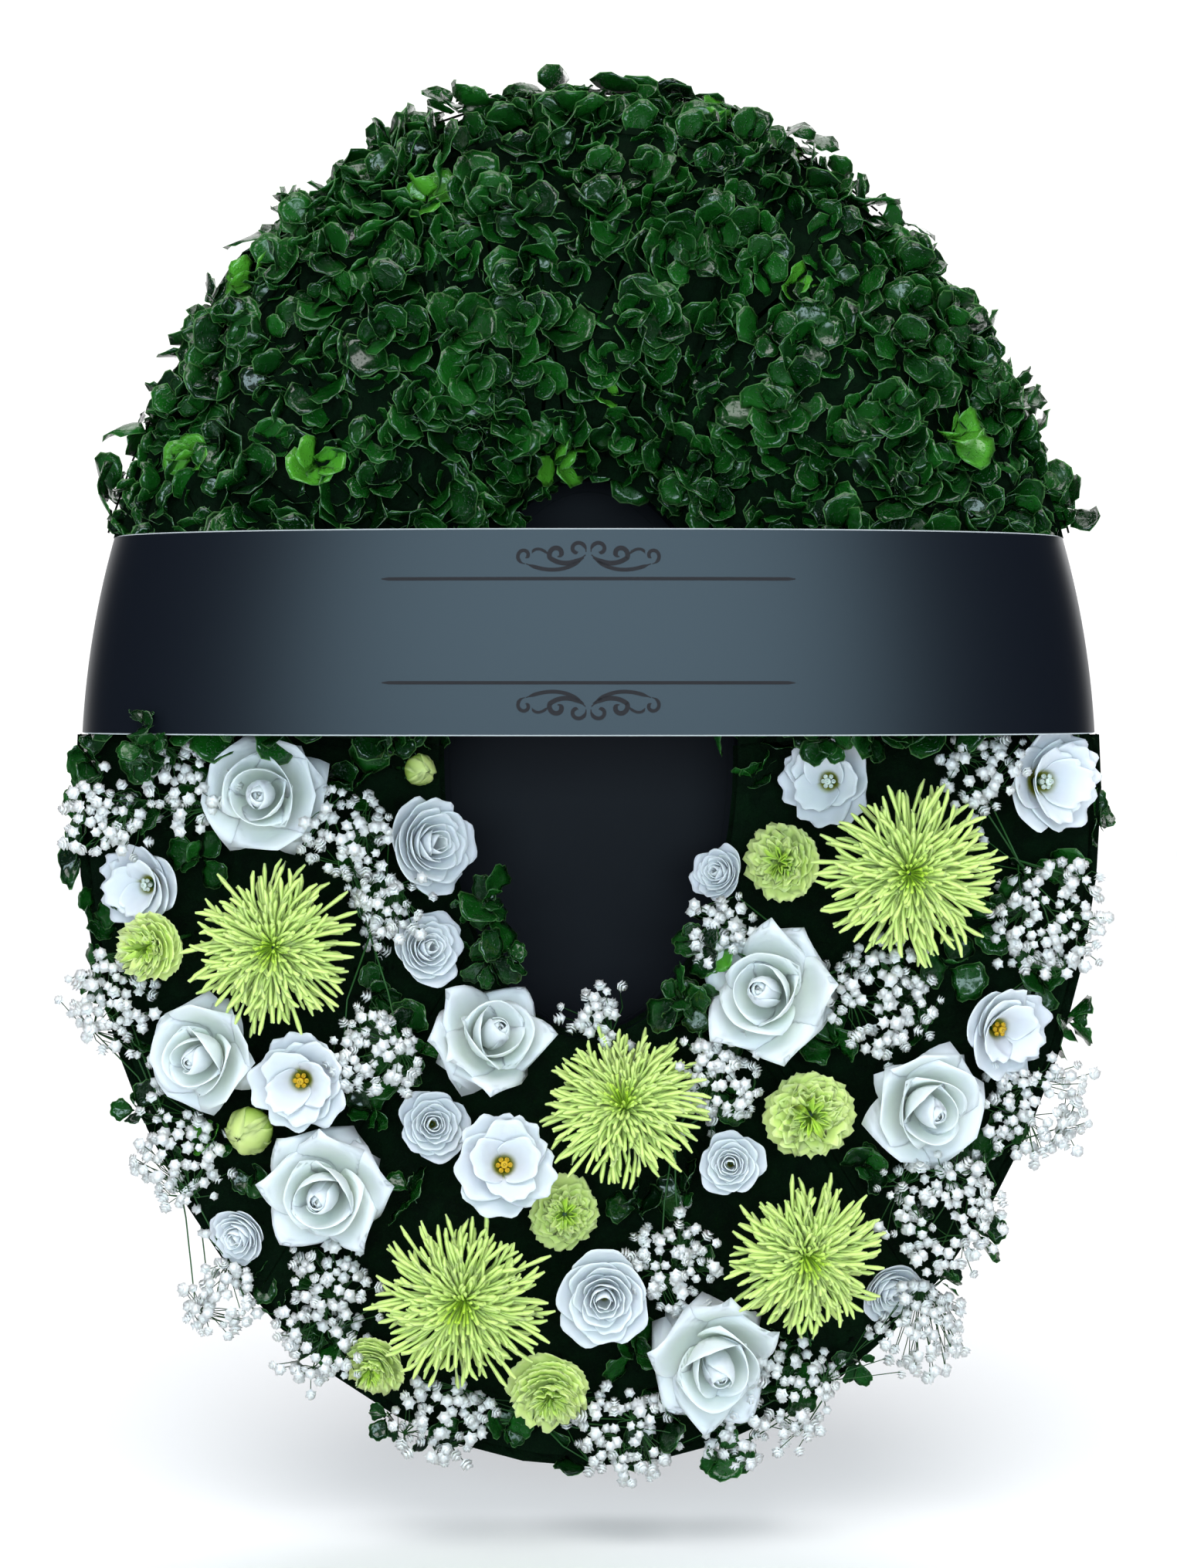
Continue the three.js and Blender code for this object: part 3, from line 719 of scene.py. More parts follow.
def stamens(head, rng):
    """The knob and the ring of little heads in the middle of a single lisianthus."""
    middle = Skin()
    share = np.array([0.0, 0.4, 0.78, 0.84, 0.94, 1.0])[:, None]
    thick = np.array([0.02, 0.02, 0.02, 0.05, 0.05, 0.02])
    for k in range(7):
        away, tall, swell = (0.13, rng.uniform(0.36, 0.44), 1.0) if k else (0.0, 0.5, 1.5)
        path = between([0.0, 0.0, 0.08], polar(away, 2 * math.pi * k / 6, tall), share)
        middle.add(*head.carrying(tube(path, thick * swell, 7)))
    return middle


CARNATION_FIRST = {
    "curve": [(0.04, 0.4), (0.12, 0.62), (0.22, 0.95), (0.24, 1.2)],
    "width": 0.42, "ruffle": 0.2, "sideways": 1.3, "teeth": 0.04, "rounding": 0.1,
}
CARNATION_LAST = {
    "curve": [(0.12, 0.36), (0.52, 0.38), (0.86, 0.5), (1.04, 0.56)],
    "width": 0.95, "ruffle": 0.09, "sideways": 0.5, "teeth": 0.04, "rounding": 0.1,
}


def carnation(head, petals, green, rng, look):
    whorl(
        petals, head, look, rng, 28, CARNATION_FIRST, CARNATION_LAST, rng.uniform(*ANY_TURN),
        rows=6, columns=21, waves=(3.2, 5.2), heart=0.0, reach=0.2, sway=0.6,
    )
    path = head.placed(np.array([[0.0, 0.0, height] for height in (0.0, 0.12, 0.3, 0.46)]))
    green.add(*tube(path, np.array([0.16, 0.24, 0.27, 0.3]) * head.radius, 10))


QUILLS = 430


def spider_mum(head, petals, green, rng, look):
    steps = np.array([0.0, 0.2, 0.42, 0.68, 0.92, 1.0])
    for k in range(QUILLS):
        share = ((k + 0.5) / QUILLS) ** 0.6
        stretch = rng.uniform(0.78, 1.07)
        droop = rng.uniform(-0.14, 0.14)
        curve = [
            (0.02 + 0.08 * share, 0.16),
            (0.06 + 0.26 * share, 0.5 - 0.3 * share),
            (0.07 + 0.57 * share, 0.66 - 0.28 * share + droop * 0.8),
            ((0.05 + 0.97 * share) * stretch, 0.64 - 0.42 * share + droop * 1.5),
        ]
        radius, height = bezier(curve, steps).T
        swing = k * GOLDEN_ANGLE + rng.uniform(-0.3, 0.3) * steps**2
        path = head.placed(polar(radius, swing, height))
        thick = np.array([0.6, 0.85, 0.95, 1.0, 1.45, 0.7]) * look.quill_radius * (0.75 + 0.25 * share)
        petals.add(*tube(path, thick, 4, min(1.0, share * 1.25)))


BUD_PETAL = {
    "curve": [(0.25, 0.0), (1.45, 0.3), (1.3, 1.35), (0.1, 2.1)],
    "width": 0.95, "roll": 0.22, "ruffle": 0.05, "point": 0.06,
}


def bud(head, petals, green, rng, look):
    turn = rng.uniform(*ANY_TURN)
    whorl(petals, head, look, rng, 6, BUD_PETAL, BUD_PETAL, turn, waves=(0.5, 1.0))
    sepals(green, head, 1.0, rng)


# ---------------------------------------------------------------- leaves
def leaf_template(rng, lobes):
    """A cupped, scalloped leaf of length 1 from its stalk at the origin to its tip on +X, facing +Z."""
    around = lobes * 3
    turn = circle(around)
    k = np.arange(around)
    after = (k + 1) % around
    notch = np.where(k % 3 == 0, -0.1, 0.03)
    cup, fold, twist = rng.uniform(-0.1, 0.5), rng.uniform(0.0, 0.3), rng.uniform(-0.35, 0.35)
    broad = rng.uniform(0.8, 1.2)
    flat, marks = [[[0.52, 0.0]]], [[[0.5, 0.0, 0.0]]]
    for reach, scallop in ((0.58, 0.0), (1.0, 1.0)):
        away = reach * (1 + notch * scallop)
        x = 0.52 + 0.5 * away * np.cos(turn)
        y = 0.54 * broad * away * np.sin(turn) * smoothstep(-0.2, 0.62, x)
        flat.append(np.stack([x, y], -1))
        marks.append(np.stack(np.broadcast_arrays(x, reach, 0.0), -1))
    x, y = np.concatenate(flat).T
    marks = np.concatenate(marks)
    wave = 0.05 * np.sin(5 * np.arctan2(y, x - 0.5) + rng.uniform(0, 6)) * (marks[:, 1] > 0.8)
    z = cup * (1.3 * y**2 + 0.5 * (x - 0.4) ** 2) + fold * np.abs(y) + twist * y * (x - 0.5) + wave
    top = np.stack([x, y, z], -1)
    under = top[: 1 + around] - [0.0, 0.0, 0.022]
    below, rim = len(top), 1 + around
    fan = np.stack([np.zeros(around, int), 1 + k, 1 + after], -1)
    under_fan = np.stack([np.full(around, below), below + 1 + after, below + 1 + k], -1)
    upper = np.stack([1 + k, rim + k, rim + after, 1 + after], -1)
    lower = np.stack([below + 1 + k, below + 1 + after, rim + after, rim + k], -1)
    points, spots = np.concatenate([top, under]), np.concatenate([marks, marks[: 1 + around]])
    return points, spots, np.concatenate([fan, under_fan]), np.concatenate([upper, lower])


def perpendicular(axis, rng):
    first = unit(np.cross(axis, unit(rng.normal(size=axis.shape))))
    return first, np.cross(axis, first)


def sprigs(skin, places, axes, sizes, leaves, rng, templates, twigs=True):
    """A whorl of leaves at each place, opening round its axis, on a short twig if wanted."""
    count = len(places)
    e1, e2 = perpendicular(axes, rng)
    young = rng.random(count) > 0.94
    for k in range(leaves):
        share = k / (leaves - 1)
        turn = (k * GOLDEN_ANGLE + rng.uniform(-0.4, 0.4, count))[:, None]
        open_by = np.radians(34 + 56 * share + rng.uniform(-14, 16, count))[:, None]
        around = np.cos(turn) * e1 + np.sin(turn) * e2
        ahead = unit(np.cos(open_by) * axes + np.sin(open_by) * around)
        facing = unit(axes - ahead * np.sum(axes * ahead, axis=1, keepdims=True))
        side = unit(np.cross(facing, ahead) + facing * rng.uniform(-0.95, 0.95, (count, 1)))
        size = sizes * rng.uniform(0.66, 1.22, count) * (0.74 + 0.34 * share)
        bases = np.stack([ahead, side, np.cross(ahead, side)], axis=1) * size[:, None, None]
        origins = places + axes * ((1 - share) * 0.28 * sizes)[:, None] + ahead * 1 * MM
        value = np.where(young & (share < 0.6), 1.0, rng.uniform(0, 0.86, count))
        skin.add_copies(templates, bases, origins, rng, value)
    for place, reach in zip(places, axes * sizes[:, None]) if twigs else ():
        path = [place - reach * 0.36, place - reach * 0.1, place + reach * 0.14]
        skin.add(*tube(path, [0.9 * MM, 0.8 * MM, 0.5 * MM], 4, 0.3))


# How far the band's ends stay off the board, how far leaves keep from the band's face and its ends,
# and how much of what lies past the wreath's rim is pressed back.
BAND_END_CLEAR = 1.0 * MM
LEAVES_BEHIND_BAND = 2.5 * MM
LEAVES_BESIDE_BAND = 2 * MM
PRESSED = 0.45


def band_half_width(z):
    """Half the band's inside width at a height, which follows the oval."""
    return OVAL_HALF_WIDTH * np.sqrt(1 - (np.asarray(z) / OVAL_HALF_HEIGHT) ** 2) + BAND_END_CLEAR


def band_depth(x, z, settings, inside=0.0):
    """Depth of the band's inner face at a place across it, moved inwards by a distance."""
    share = np.clip(np.abs(x) / (band_half_width(z) - inside), 0, 1)
    bend = (1 - share**settings.power) ** (1 / settings.power)
    return settings.side_depth + (settings.bulge - inside) * bend


def keep_behind_band(points, settings):
    """Presses leaves back so that none pokes through the band or past the wreath's back and rim."""
    x, y, z = points.T
    near = (z > BAND_LOW.z - 2 * MM) & (z < BAND_HIGH.z + 2 * MM)
    level = np.clip(z, BAND_LOW.z, BAND_HIGH.z)
    y = np.where(near, np.maximum(y, -band_depth(x, level, settings, LEAVES_BEHIND_BAND)), y)
    wide = band_half_width(level) - LEAVES_BESIDE_BAND
    x = np.where(near, np.clip(x, -wide, wide), x)
    x = x - np.sign(x) * np.maximum(np.abs(x) - OVAL_HALF_WIDTH, 0.0) * PRESSED
    z = z - np.maximum(z - OVAL_HALF_HEIGHT, 0.0) * PRESSED
    return np.stack([x, np.minimum(y, -3 * MM), z], -1)


# The bed's sprigs start this far under the band or this far out to its sides, and this far from a
# flower's head.
BED_UNDER_BAND = 34 * MM
BED_BESIDE_BAND = 300 * MM
LEAVES_ROUND_HEAD = 12 * MM


def undergrowth(node, sunk):
    """The solid drawn in along its normals, as the dark mass under the leaves that is painted shade between
    them.
    """
    points, triangles, face = corners_of(node)
    normal = np.zeros_like(points)
    for corner in triangles.T:
        np.add.at(normal, corner, face)
    return Skin((points - unit(normal) * sunk, None, triangles))


def greenery(node, spacing, sunk, rng, look, settings, heads, size_range, leaves, lift):
    """One clump: sprigs scattered over its solid's outer faces, clear of the flowers' heads."""

    def wanted(spots, facing):
        ray = unit((spots - RING_MIDDLE) * [1, 0, 1])
        cut_side = np.abs(np.sum(facing * np.cross(ray, [0.0, 1.0, 0.0]), axis=1)) > 0.85
        clear = ~cut_side & (facing[:, 1] <= 0.65)
        if heads:
            clear &= (spots[:, 2] < BAND_LOW.z - BED_UNDER_BAND) | (np.abs(spots[:, 0]) > BED_BESIDE_BAND)
        for head in heads:
            middle = head.base + head.axis * head.height / 2
            away = np.linalg.norm((spots - middle)[:, [0, 2]], axis=1)
            clear &= away > head.radius + LEAVES_ROUND_HEAD
        return clear

    places, facing = scattered(node, spacing, 9000, rng, wanted)
    rise = rng.uniform(*lift, len(places))[:, None]
    proud = np.where(rng.random(len(places)) < 0.1, 11 * MM, 0.0)[:, None]
    rim_side = np.clip(np.sum(facing * unit(places * [1, 0, 1]), axis=1), 0, 1)[:, None]
    proud = proud + 12 * MM * rim_side * smoothstep(190 * MM, 280 * MM, places[:, 2:])
    places = places - facing * (sunk - proud) + [0.0, -1.0, 0.0] * rise
    axes = unit(facing * 0.85 + [0.0, -0.1, 0.28] + rng.normal(scale=0.36, size=facing.shape))
    sizes = rng.uniform(*size_range, len(places)) * look.leaf_length
    templates = [leaf_template(rng, 7 if heads else 5) for _ in range(8)]
    skin = Skin()
    sprigs(skin, places, axes, sizes, leaves, rng, templates, twigs=bool(heads))
    skin.moved(lambda points: keep_behind_band(points, settings))
    return skin


def leafy_twig(skin, curve, steps, bearing, axes, sizes, rng, templates):
    """A bent twig with a whorl of leaves at each of the steps that bear one."""
    twig = bezier(curve, np.linspace(0, 1, steps))
    skin.add(*tube(twig, 1.0 * MM, 6, 0.3))
    sprigs(skin, twig[bearing], unit(np.array(axes)), np.array(sizes), 5, rng, templates)


def band_sprig(look, settings, rng):
    """The sprig that comes out of the bed under the band and leans over the band's lower edge."""
    side = -0.307
    deep = band_depth(side, BAND_LOW.z, settings) + BAND_THICK + 4 * MM
    root = np.array([-0.292, -0.105, 0.006])
    crown = np.array([side, -deep, BAND_LOW.z + 5 * MM])
    under = np.array([side, 2 * MM - deep, BAND_LOW.z - 16 * MM])
    skin = Skin()
    leafy_twig(
        skin, [root, (root + under) / 2, under, crown], 9, [4, 6, 8],
        [[-0.5, -0.7, -0.3], [0.5, -0.8, 0.1], [-0.1, -0.75, 0.75]], [0.6 * look.leaf_length] * 3,
        rng, [leaf_template(rng, 7) for _ in range(6)],
    )

    def in_front(points):
        x, y, z = points.T
        level = np.clip(z, BAND_LOW.z, BAND_HIGH.z)
        face = -band_depth(x, level, settings) - BAND_THICK - 1 * MM
        return np.stack([x, np.where(z > BAND_LOW.z - 3 * MM, np.minimum(y, face), y), z], -1)

    skin.moved(in_front)
    skin.piece("band_sprig", "leaf", "leaf")


# Where the sprigs beside the opening end: across and up.
OPENING_SPRIGS = ((-0.073, -0.08), (-0.06, -0.12), (0.066, -0.15), (0.08, -0.11))


def opening_sprigs(look, rng):
    """The sprigs that come out of the bed beside the opening and lean over its edge."""
    skin = Skin()
    templates = [leaf_template(rng, 7) for _ in range(6)]
    for x, z in OPENING_SPRIGS:
        out = math.copysign(1.0, x)
        crown = np.array([x, -0.106, z])
        root = crown + [26 * MM * out, 46 * MM, -6 * MM]
        curve = [root, root + [0.0, -26 * MM, 0.0], crown + [8 * MM * out, 6 * MM, 0.0], crown]
        axes = [[0.1 * out, -0.9, -0.5], [-0.4 * out, -0.8, 0.3]]
        sizes = [0.8 * look.leaf_length, 0.86 * look.leaf_length]
        leafy_twig(skin, curve, 7, [4, 6], axes, sizes, rng, templates)
    skin.piece("opening_sprigs", "leaf", "leaf")


# ---------------------------------------------------------------- baby's breath
def floret_template(rng):
    """A fluffy floret of width 1 that faces +Z: three tiers of notched petals."""
    points, spots, triangles = [], [], []
    for tier, (radius, height, count) in enumerate([(0.46, 0.0, 12), (0.46, 0.2, 12), (0.3, 0.4, 10)]):
        away = radius * np.where(np.arange(count) % 2, 0.74, 1.0) * rng.uniform(0.86, 1.1, count)
        lift = height + 0.14 + rng.uniform(-0.06, 0.06, count)
        first = len(points)
        middle, foot = [0.0, 0.0, height - 0.06], [0.0, 0.0, height - 0.16]
        points += [middle, *polar(away, circle(count) + tier, lift), foot]
        spots += [[0.3, 0.0, 0.0], *[[1.0, 1.0, 0.0]] * count, [0.0, 0.0, 0.0]]
        for k in range(count):
            here, after = first + 1 + k, first + 1 + (k + 1) % count
            triangles += [[first, here, after], [first + count + 1, after, here]]
    return np.array(points), np.array(spots), np.array(triangles), np.zeros((0, 4), int)


def babys_breath(node, rng, look):
    """Florets over the solid's puffs, and the fine stalks that carry them."""

    def outer(spots, facing):
        return (facing[:, 1] < 0.35) & (spots[:, 1] < -74 * MM)

    places, facing = scattered(node, look.floret_spacing, 7000, rng, outer)
    keep = rng.random(len(places)) > 0.16
    places, facing = places[keep], facing[keep]
    places = places + facing * rng.uniform(-12, 5, (len(places), 1)) * MM
    astray = (rng.random(len(places)) < 0.4)[:, None] * unit(places - places.mean(axis=0))
    places = places + astray * rng.uniform(3, 15, (len(places), 1)) * [1, 0, 1] * MM
    axes = unit(facing + [0.0, -0.7, 0.0] + rng.normal(scale=0.45, size=facing.shape))
    e1, e2 = perpendicular(axes, rng)
    size = look.floret_size * rng.uniform(0.7, 1.15, len(places))
    bases = np.stack([e1, e2, axes], axis=1) * size[:, None, None]
    florets, stalks = Skin(), Skin()
    florets.add_copies([floret_template(rng) for _ in range(5)], bases, places, rng)

    foot, _ = foot_of(corners_of(node)[0])
    fork = places.mean(axis=0) + [0.0, 24 * MM, 0.0]
    hubs = places[:: max(1, len(places) // 9)] + [0.0, 17 * MM, 0.0]
    stalks.add(*tube([foot, (foot + fork) / 2, fork], 1.3 * MM, 6))
    for hub in hubs:
        bend = (fork + hub) / 2 + rng.normal(scale=3 * MM, size=3)
        stalks.add(*tube([fork, bend, hub], [0.8 * MM, 0.6 * MM, 0.5 * MM], 5))
    for place in places:
        hub = hubs[np.argmin(np.linalg.norm(hubs - place, axis=1))]
        bend = (place + hub) / 2 + rng.normal(scale=2 * MM, size=3)
        stalks.add(*tube([hub, bend, place], [0.5 * MM, 0.4 * MM, 0.4 * MM], 3))
    return florets, stalks


# ---------------------------------------------------------------- band, board and small hardware
BAND_ROWS, BAND_COLUMNS, BAND_SIDE_STEPS = 15, 121, 5


def band_grid(settings, inside, chamfer):
    """Points over one face of the band: from its left end round the front to its right end."""
    turn = np.linspace(0, math.pi, BAND_COLUMNS)
    across = -np.sign(np.cos(turn)) * np.abs(np.cos(turn)) ** (2 / settings.power)
    bulge = (settings.bulge + BAND_THICK - inside) * np.sin(turn) ** (2 / settings.power)
    side = np.linspace(12 * MM, settings.side_depth, BAND_SIDE_STEPS + 1)[:-1]
    deep = np.concatenate([side, settings.side_depth + bulge, side[::-1]])
    across = np.pad(across, BAND_SIDE_STEPS, "edge")
    z = np.linspace(BAND_LOW.z + chamfer, BAND_HIGH.z - chamfer, BAND_ROWS)[:, None]
    x = (band_half_width(z) + BAND_THICK - inside) * across
    return np.stack(np.broadcast_arrays(x, -deep, z), -1)


def message_band(settings):
    """The band's two faces and, in a look of its own, the cut edge between them, as one piece."""
    faces = np.array([band_grid(settings, 0.0, 0.9 * MM), band_grid(settings, BAND_THICK, 0.0)])
    points = faces.reshape(-1, 3)
    below = len(points) // 2
    face = grid_quads(*faces.shape[1:3])
    rim, after = rim_of(*faces.shape[1:3])
    body = Skin((points, None, None, np.concatenate([face, face[:, ::-1] + below])))
    edge = Skin((points, None, None, np.stack([rim, rim + below, after + below, after], -1)))
    band = body.build("band_board", "band")
    pieces = [band, edge.build("band_edge", "cut_edge", smooth=False)]
    with bpy.context.temp_override(
        active_object=band, object=band, selected_objects=pieces, selected_editable_objects=pieces
    ):
        bpy.ops.object.join()
    mounted(band, "message_band")


def on_band(across, z, out, settings):
    """Points over the band's face, each at a distance across from its middle and a height."""
    x = across
    for _ in range(6):
        steps = np.linspace(0, 1, 24)[:, None] * x
        deep = band_depth(steps, np.mean(z), settings)
        run = np.sum(np.hypot(np.diff(steps, axis=0), np.diff(deep, axis=0)), axis=0)
        x = x * np.where(run > 1e-9, np.abs(across) / np.maximum(run, 1e-9), 1.0)
    return np.stack([x, -band_depth(x, z, settings) - BAND_THICK - out, z], -1)


def spiral(middle, start, turns, first, last):
    """Points of a scroll in the band's plane that winds in to a middle."""
    share = np.linspace(0, 1, 26)
    return middle + polar(between(first, last, share), start + turns * 2 * math.pi * share, 0.0)[:, :2]


def swash(*points):
    return bezier(points, np.linspace(0, 1, 24))


# The right half of one ornament, in millimetres from its middle: lines with their widths, of which
# the first is a tail that ends in a curl.
TAIL, CURL = swash((2, 3), (8, -3), (18, -5), (26, 1)), spiral((21, 3.5), -0.4, 0.8, 5.6, 1.6)
SCROLLS = (
    (np.concatenate([TAIL, CURL]), 3.2),
    (swash((3, 1), (16, -10), (30, -8), (42, -3)), 2.6),
    (spiral((43, 2.5), -1.6, 0.95, 5.5, 1.6), 2.4),
    (spiral((7.5, 6.5), 3.4, -0.85, 6.0, 1.5), 2.6),
    (swash((27, 3), (31, 8), (37, 8), (38, 4)), 1.9),
)


def ribbon_on_band(line, width, raised, settings, flip, middle_z, blunt=7):
    """A flat raised line over the band, with pointed or blunt ends."""
    along = unit(np.gradient(line, axis=0))
    across = np.stack([-along[:, 1], along[:, 0]], -1)
    share = np.linspace(0, 1, len(line))
    taper = np.clip(np.minimum(share, 1 - share) * blunt, 0.25, 1)[:, None]
    left, right = line + across * width / 2 * taper, line - across * width / 2 * taper
    rows = [
        on_band(edge[:, 0] * MM, middle_z + flip * edge[:, 1] * MM, out, settings)
        for edge, out in ((left, 0.0), (left, raised), (right, raised), (right, 0.0))
    ]
    return np.stack(rows, axis=1).reshape(-1, 3), None, None, grid_quads(len(line), 4, around=True)


def ornament(settings):
    """Two thin rules, each with a mirrored pair of scrolls, laid on the band."""
    skin = Skin()
    middle = (BAND_LOW.z + BAND_HIGH.z) / 2 + 1 * MM
    half = settings.rule_length / MM / 2
    rule = np.stack([np.linspace(-half, half, 60), np.zeros(60)], -1)
    for flip in (1, -1):
        level = middle + flip * settings.rule_gap / 2
        skin.add(*ribbon_on_band(rule, 2.3, 0.25 * MM, settings, flip, level, blunt=60))
        for side in (1, -1):
            for line, width in SCROLLS:
                drawn = line * [side, 1.0]
                skin.add(*ribbon_on_band(drawn, width, 0.3 * MM, settings, flip, level + flip * 13 * MM))
    skin.piece("band_ornament", "ornament", "band", smooth=False)


def oval(half_width, half_height, middle_z, deep, steps=192):
    turn = circle(steps)
    x, z = half_width * np.cos(turn), middle_z + half_height * np.sin(turn)
    return np.stack(np.broadcast_arrays(x, -deep, z), -1)


def grown(box, margin, deep):
    """An oval section that fills a node's box, grown by a margin, at a depth."""
    low, high = box
    return (high.x - low.x) / 2 + margin, (high.z - low.z) / 2 + margin, (high.z + low.z) / 2, deep


def swept_oval(sections):
    """Ovals joined in turn: each section is (half width, half height, middle z, depth)."""
    rings = np.array([oval(*section) for section in sections])
    return rings.reshape(-1, 3), None, None, grid_quads(*rings.shape[:2], around=True)


def painted_board():
    """The oval board with softened edges, its two faces closed by ovals too small to see."""
    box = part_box("back_board")
    thick, soft, tiny = -box[0].y, 1.2 * MM, 0.1 * MM
    skin = Skin(swept_oval([
        (tiny, tiny, 0.0, 0.0),
        grown(box, -soft, 0.0),
        grown(box, -0.3 * soft, 0.3 * soft),
        grown(box, 0, soft),
        grown(box, 0, thick - soft),
        grown(box, -0.3 * soft, thick - 0.3 * soft),
        grown(box, -soft, thick),
        (tiny, tiny, 0.0, thick),
    ]))
    skin.piece("painted_board", "board", "board", "back_board")


def strip(name, node, inwards):
    """A strip round an oval with softened edges."""
    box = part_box(node)
    back, front = -box[1].y, -box[0].y
    thick, soft = 2.2 * MM, 0.6 * MM
    near, far = (-thick, 0.0) if inwards else (0.0, -thick)
    outline = [
        grown(box, near, back),
        grown(box, near, front - soft),
        grown(box, between(near, far, 0.25), front),
        grown(box, between(near, far, 0.75), front),
        grown(box, far, front - soft),
        grown(box, far, back),
    ]
    if not inwards:
        outline.reverse()
    *ring, quads = swept_oval([*outline, outline[0]])
    Skin((*ring, quads[:, ::-1])).piece(name, "strip", "strip", node)


def staples():
    """Flat wire staples that hold the outer strip to the board's edge."""
    proud, half_length, deep = 0.35 * MM, 5 * MM, 9 * MM
    flat = oval(OVAL_HALF_WIDTH + proud, OVAL_HALF_HEIGHT + proud, 0.0, deep, steps=44)
    ahead = unit(np.roll(flat, -1, axis=0) - np.roll(flat, 1, axis=0)) * half_length
    wires = (tube([at - way, at, at + way], 0.45 * MM, 6) for at, way in zip(flat, ahead))
    Skin(*wires).piece("strip_staples", "wire", "wire")


# A pin's head from its foot to its crown: how far out each ring of it lies and how wide it is.
PIN_HEAD = ((0.7, 0.95), (0.8, 1.0), (0.86, 0.97), (0.93, 0.8), (0.985, 0.45), (1.0, 0.02))


def enamelled_pin(node):
    """A pin through the band's end, with a low domed head."""
    low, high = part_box(node)
    side = math.copysign(1, low.x)
    outer, inner = (high.x, low.x) if side > 0 else (low.x, high.x)
    _, y, z = (low + high) / 2
    radius, head = (high.z - low.z) / 2, 2.4 * MM
    shaft = tube([[inner, y, z], [outer - side * (head + 0.2 * MM), y, z]], 0.8 * MM, 10)
    stops = [[outer - side * head * (1 - share) * 3.3, y, z] for share, _ in PIN_HEAD]
    dome = tube(stops, [radius * width for _, width in PIN_HEAD], 24)
    Skin(shaft, dome).piece(f"{node}_enamelled", "pin", "pin", node)


def bent_wire():
    """The bent wire that the wreath hangs by."""
    low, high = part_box("hanging_loop")
    wire, corner = 2 * MM, 5 * MM
    half, deep = high.x - wire, -low.y - wire
    foot, top = low.z + wire, high.z - wire
    shoulder = top - 18 * MM
    turn = np.linspace(0, math.pi, 25)
    arch = np.stack([half * np.cos(turn), np.full(25, -deep), shoulder + (top - shoulder) * np.sin(turn)], -1)
    bend = np.linspace(0, math.pi / 2, 7)
    y, z = -deep + corner * (1 - np.sin(bend)), foot + corner * (1 - np.cos(bend))
    right = np.concatenate([[[half, -1 * MM, foot]], np.stack([np.full(7, half), y, z], -1)])
    path = np.concatenate([right, arch, (right * [-1, 1, 1])[::-1]])
    Skin(tube(path, wire, 14)).piece("bent_wire", "wire", "wire", "hanging_loop")


# ---------------------------------------------------------------- operators
class WREATH_OT_back(bpy.types.Operator):
    """Makes the board, the strips, the foam, the staples and the hanging loop"""

    bl_idname = "wreath.back"
    bl_label = "Board and foam"

    def execute(self, context):
        make_looks(context.scene)
        painted_board()
        strip("outer_strip", "outer_skirt", False)
        strip("inner_strip", "hole_liner", True)
        staples()
        bent_wire()
        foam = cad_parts["foam_ring"]
        foam.data.materials.clear()
        foam.data.materials.append(look_named("foam"))
        return {"FINISHED"}


class WREATH_OT_greenery(bpy.types.Operator):
    """Makes the dome of leaves and the leaves among the flowers"""

    bl_idname = "wreath.greenery"
    bl_label = "Greenery"

    def execute(self, context):
        make_looks(context.scene)
        foliage, band = context.scene.wreath_foliage, context.scene.wreath_band
        dome = dict(
            spacing=foliage.sprig_spacing, sunk=foliage.sunk, heads=[], size_range=(0.8, 1.15), leaves=8,
            lift=(-7 * MM, 7 * MM),
        )
        bed = dict(
            spacing=foliage.bed_spacing, sunk=2 * MM, size_range=(0.62, 0.98), leaves=5, lift=(0.0, 14 * MM),
            heads=[Head(node) for kind in FLOWER_KINDS for node in nodes_named(kind)],
        )
        for prefix, form, shrink in (("dome_greenery", dome, 11 * MM), ("bed_greenery", bed, 7 * MM)):
            for number, node in enumerate(nodes_named(prefix)):
                rng = np.random.default_rng([foliage.seed, number, len(form["heads"])])
                leaves = greenery(node, rng=rng, look=foliage, settings=band, **form)
                leaves.piece(f"{node}_leaves", "leaf", "leaf", node)
                # A near-black shell under each clump's leaves: painted shade between the leaves.
                undergrowth(node, shrink).piece(f"{node}_undergrowth", "undergrowth", "leaf")
        band_sprig(foliage, band, np.random.default_rng(foliage.seed))
        opening_sprigs(foliage, np.random.default_rng([foliage.seed, 2]))
        return {"FINISHED"}


# What makes each kind of flower, by adding to its petals and its green parts, and the petals' look
# and slot.
FLOWER_KINDS = {
    "rose_": (rose, "rose", "rose_petal"),
    "lisianthus_bud_": (bud, "bud", "bud"),
    "lisianthus_": (lisianthus, "lisianthus", "lisianthus_petal"),
    "spider_mum_": (spider_mum, "mum", "mum_petal"),
    "carnation_": (carnation, "carnation", "carnation_petal"),
}


class WREATH_OT_flowers(bpy.types.Operator):
    """Makes the roses, lisianthus, chrysanthemums, carnations and buds"""

    bl_idname = "wreath.flowers"
    bl_label = "Flowers"

    def execute(self, context):
        make_looks(context.scene)
        settings = context.scene.wreath_flowers
        for prefix, (make, look, slot) in FLOWER_KINDS.items():
            for number, node in enumerate(nodes_named(prefix)):
                if prefix == "lisianthus_" and "bud" in node:
                    continue
                rng = np.random.default_rng([settings.seed, number, len(prefix)])
                head, petals, green = Head(node), Skin(), Skin()
                make(head, petals, green, rng, settings)
                green.add(*stalk_of(head))
                petals.piece(f"{node}_petals", look, slot, node)
                green.piece(f"{node}_stem", "stalk", "leaf")
                if make is lisianthus and not is_double(head):
                    look_inside = "stamen" if node in YELLOW_HEARTED else "rose"
                    stamens(head, rng).piece(f"{node}_stamens", look_inside, "lisianthus_petal")
        return {"FINISHED"}


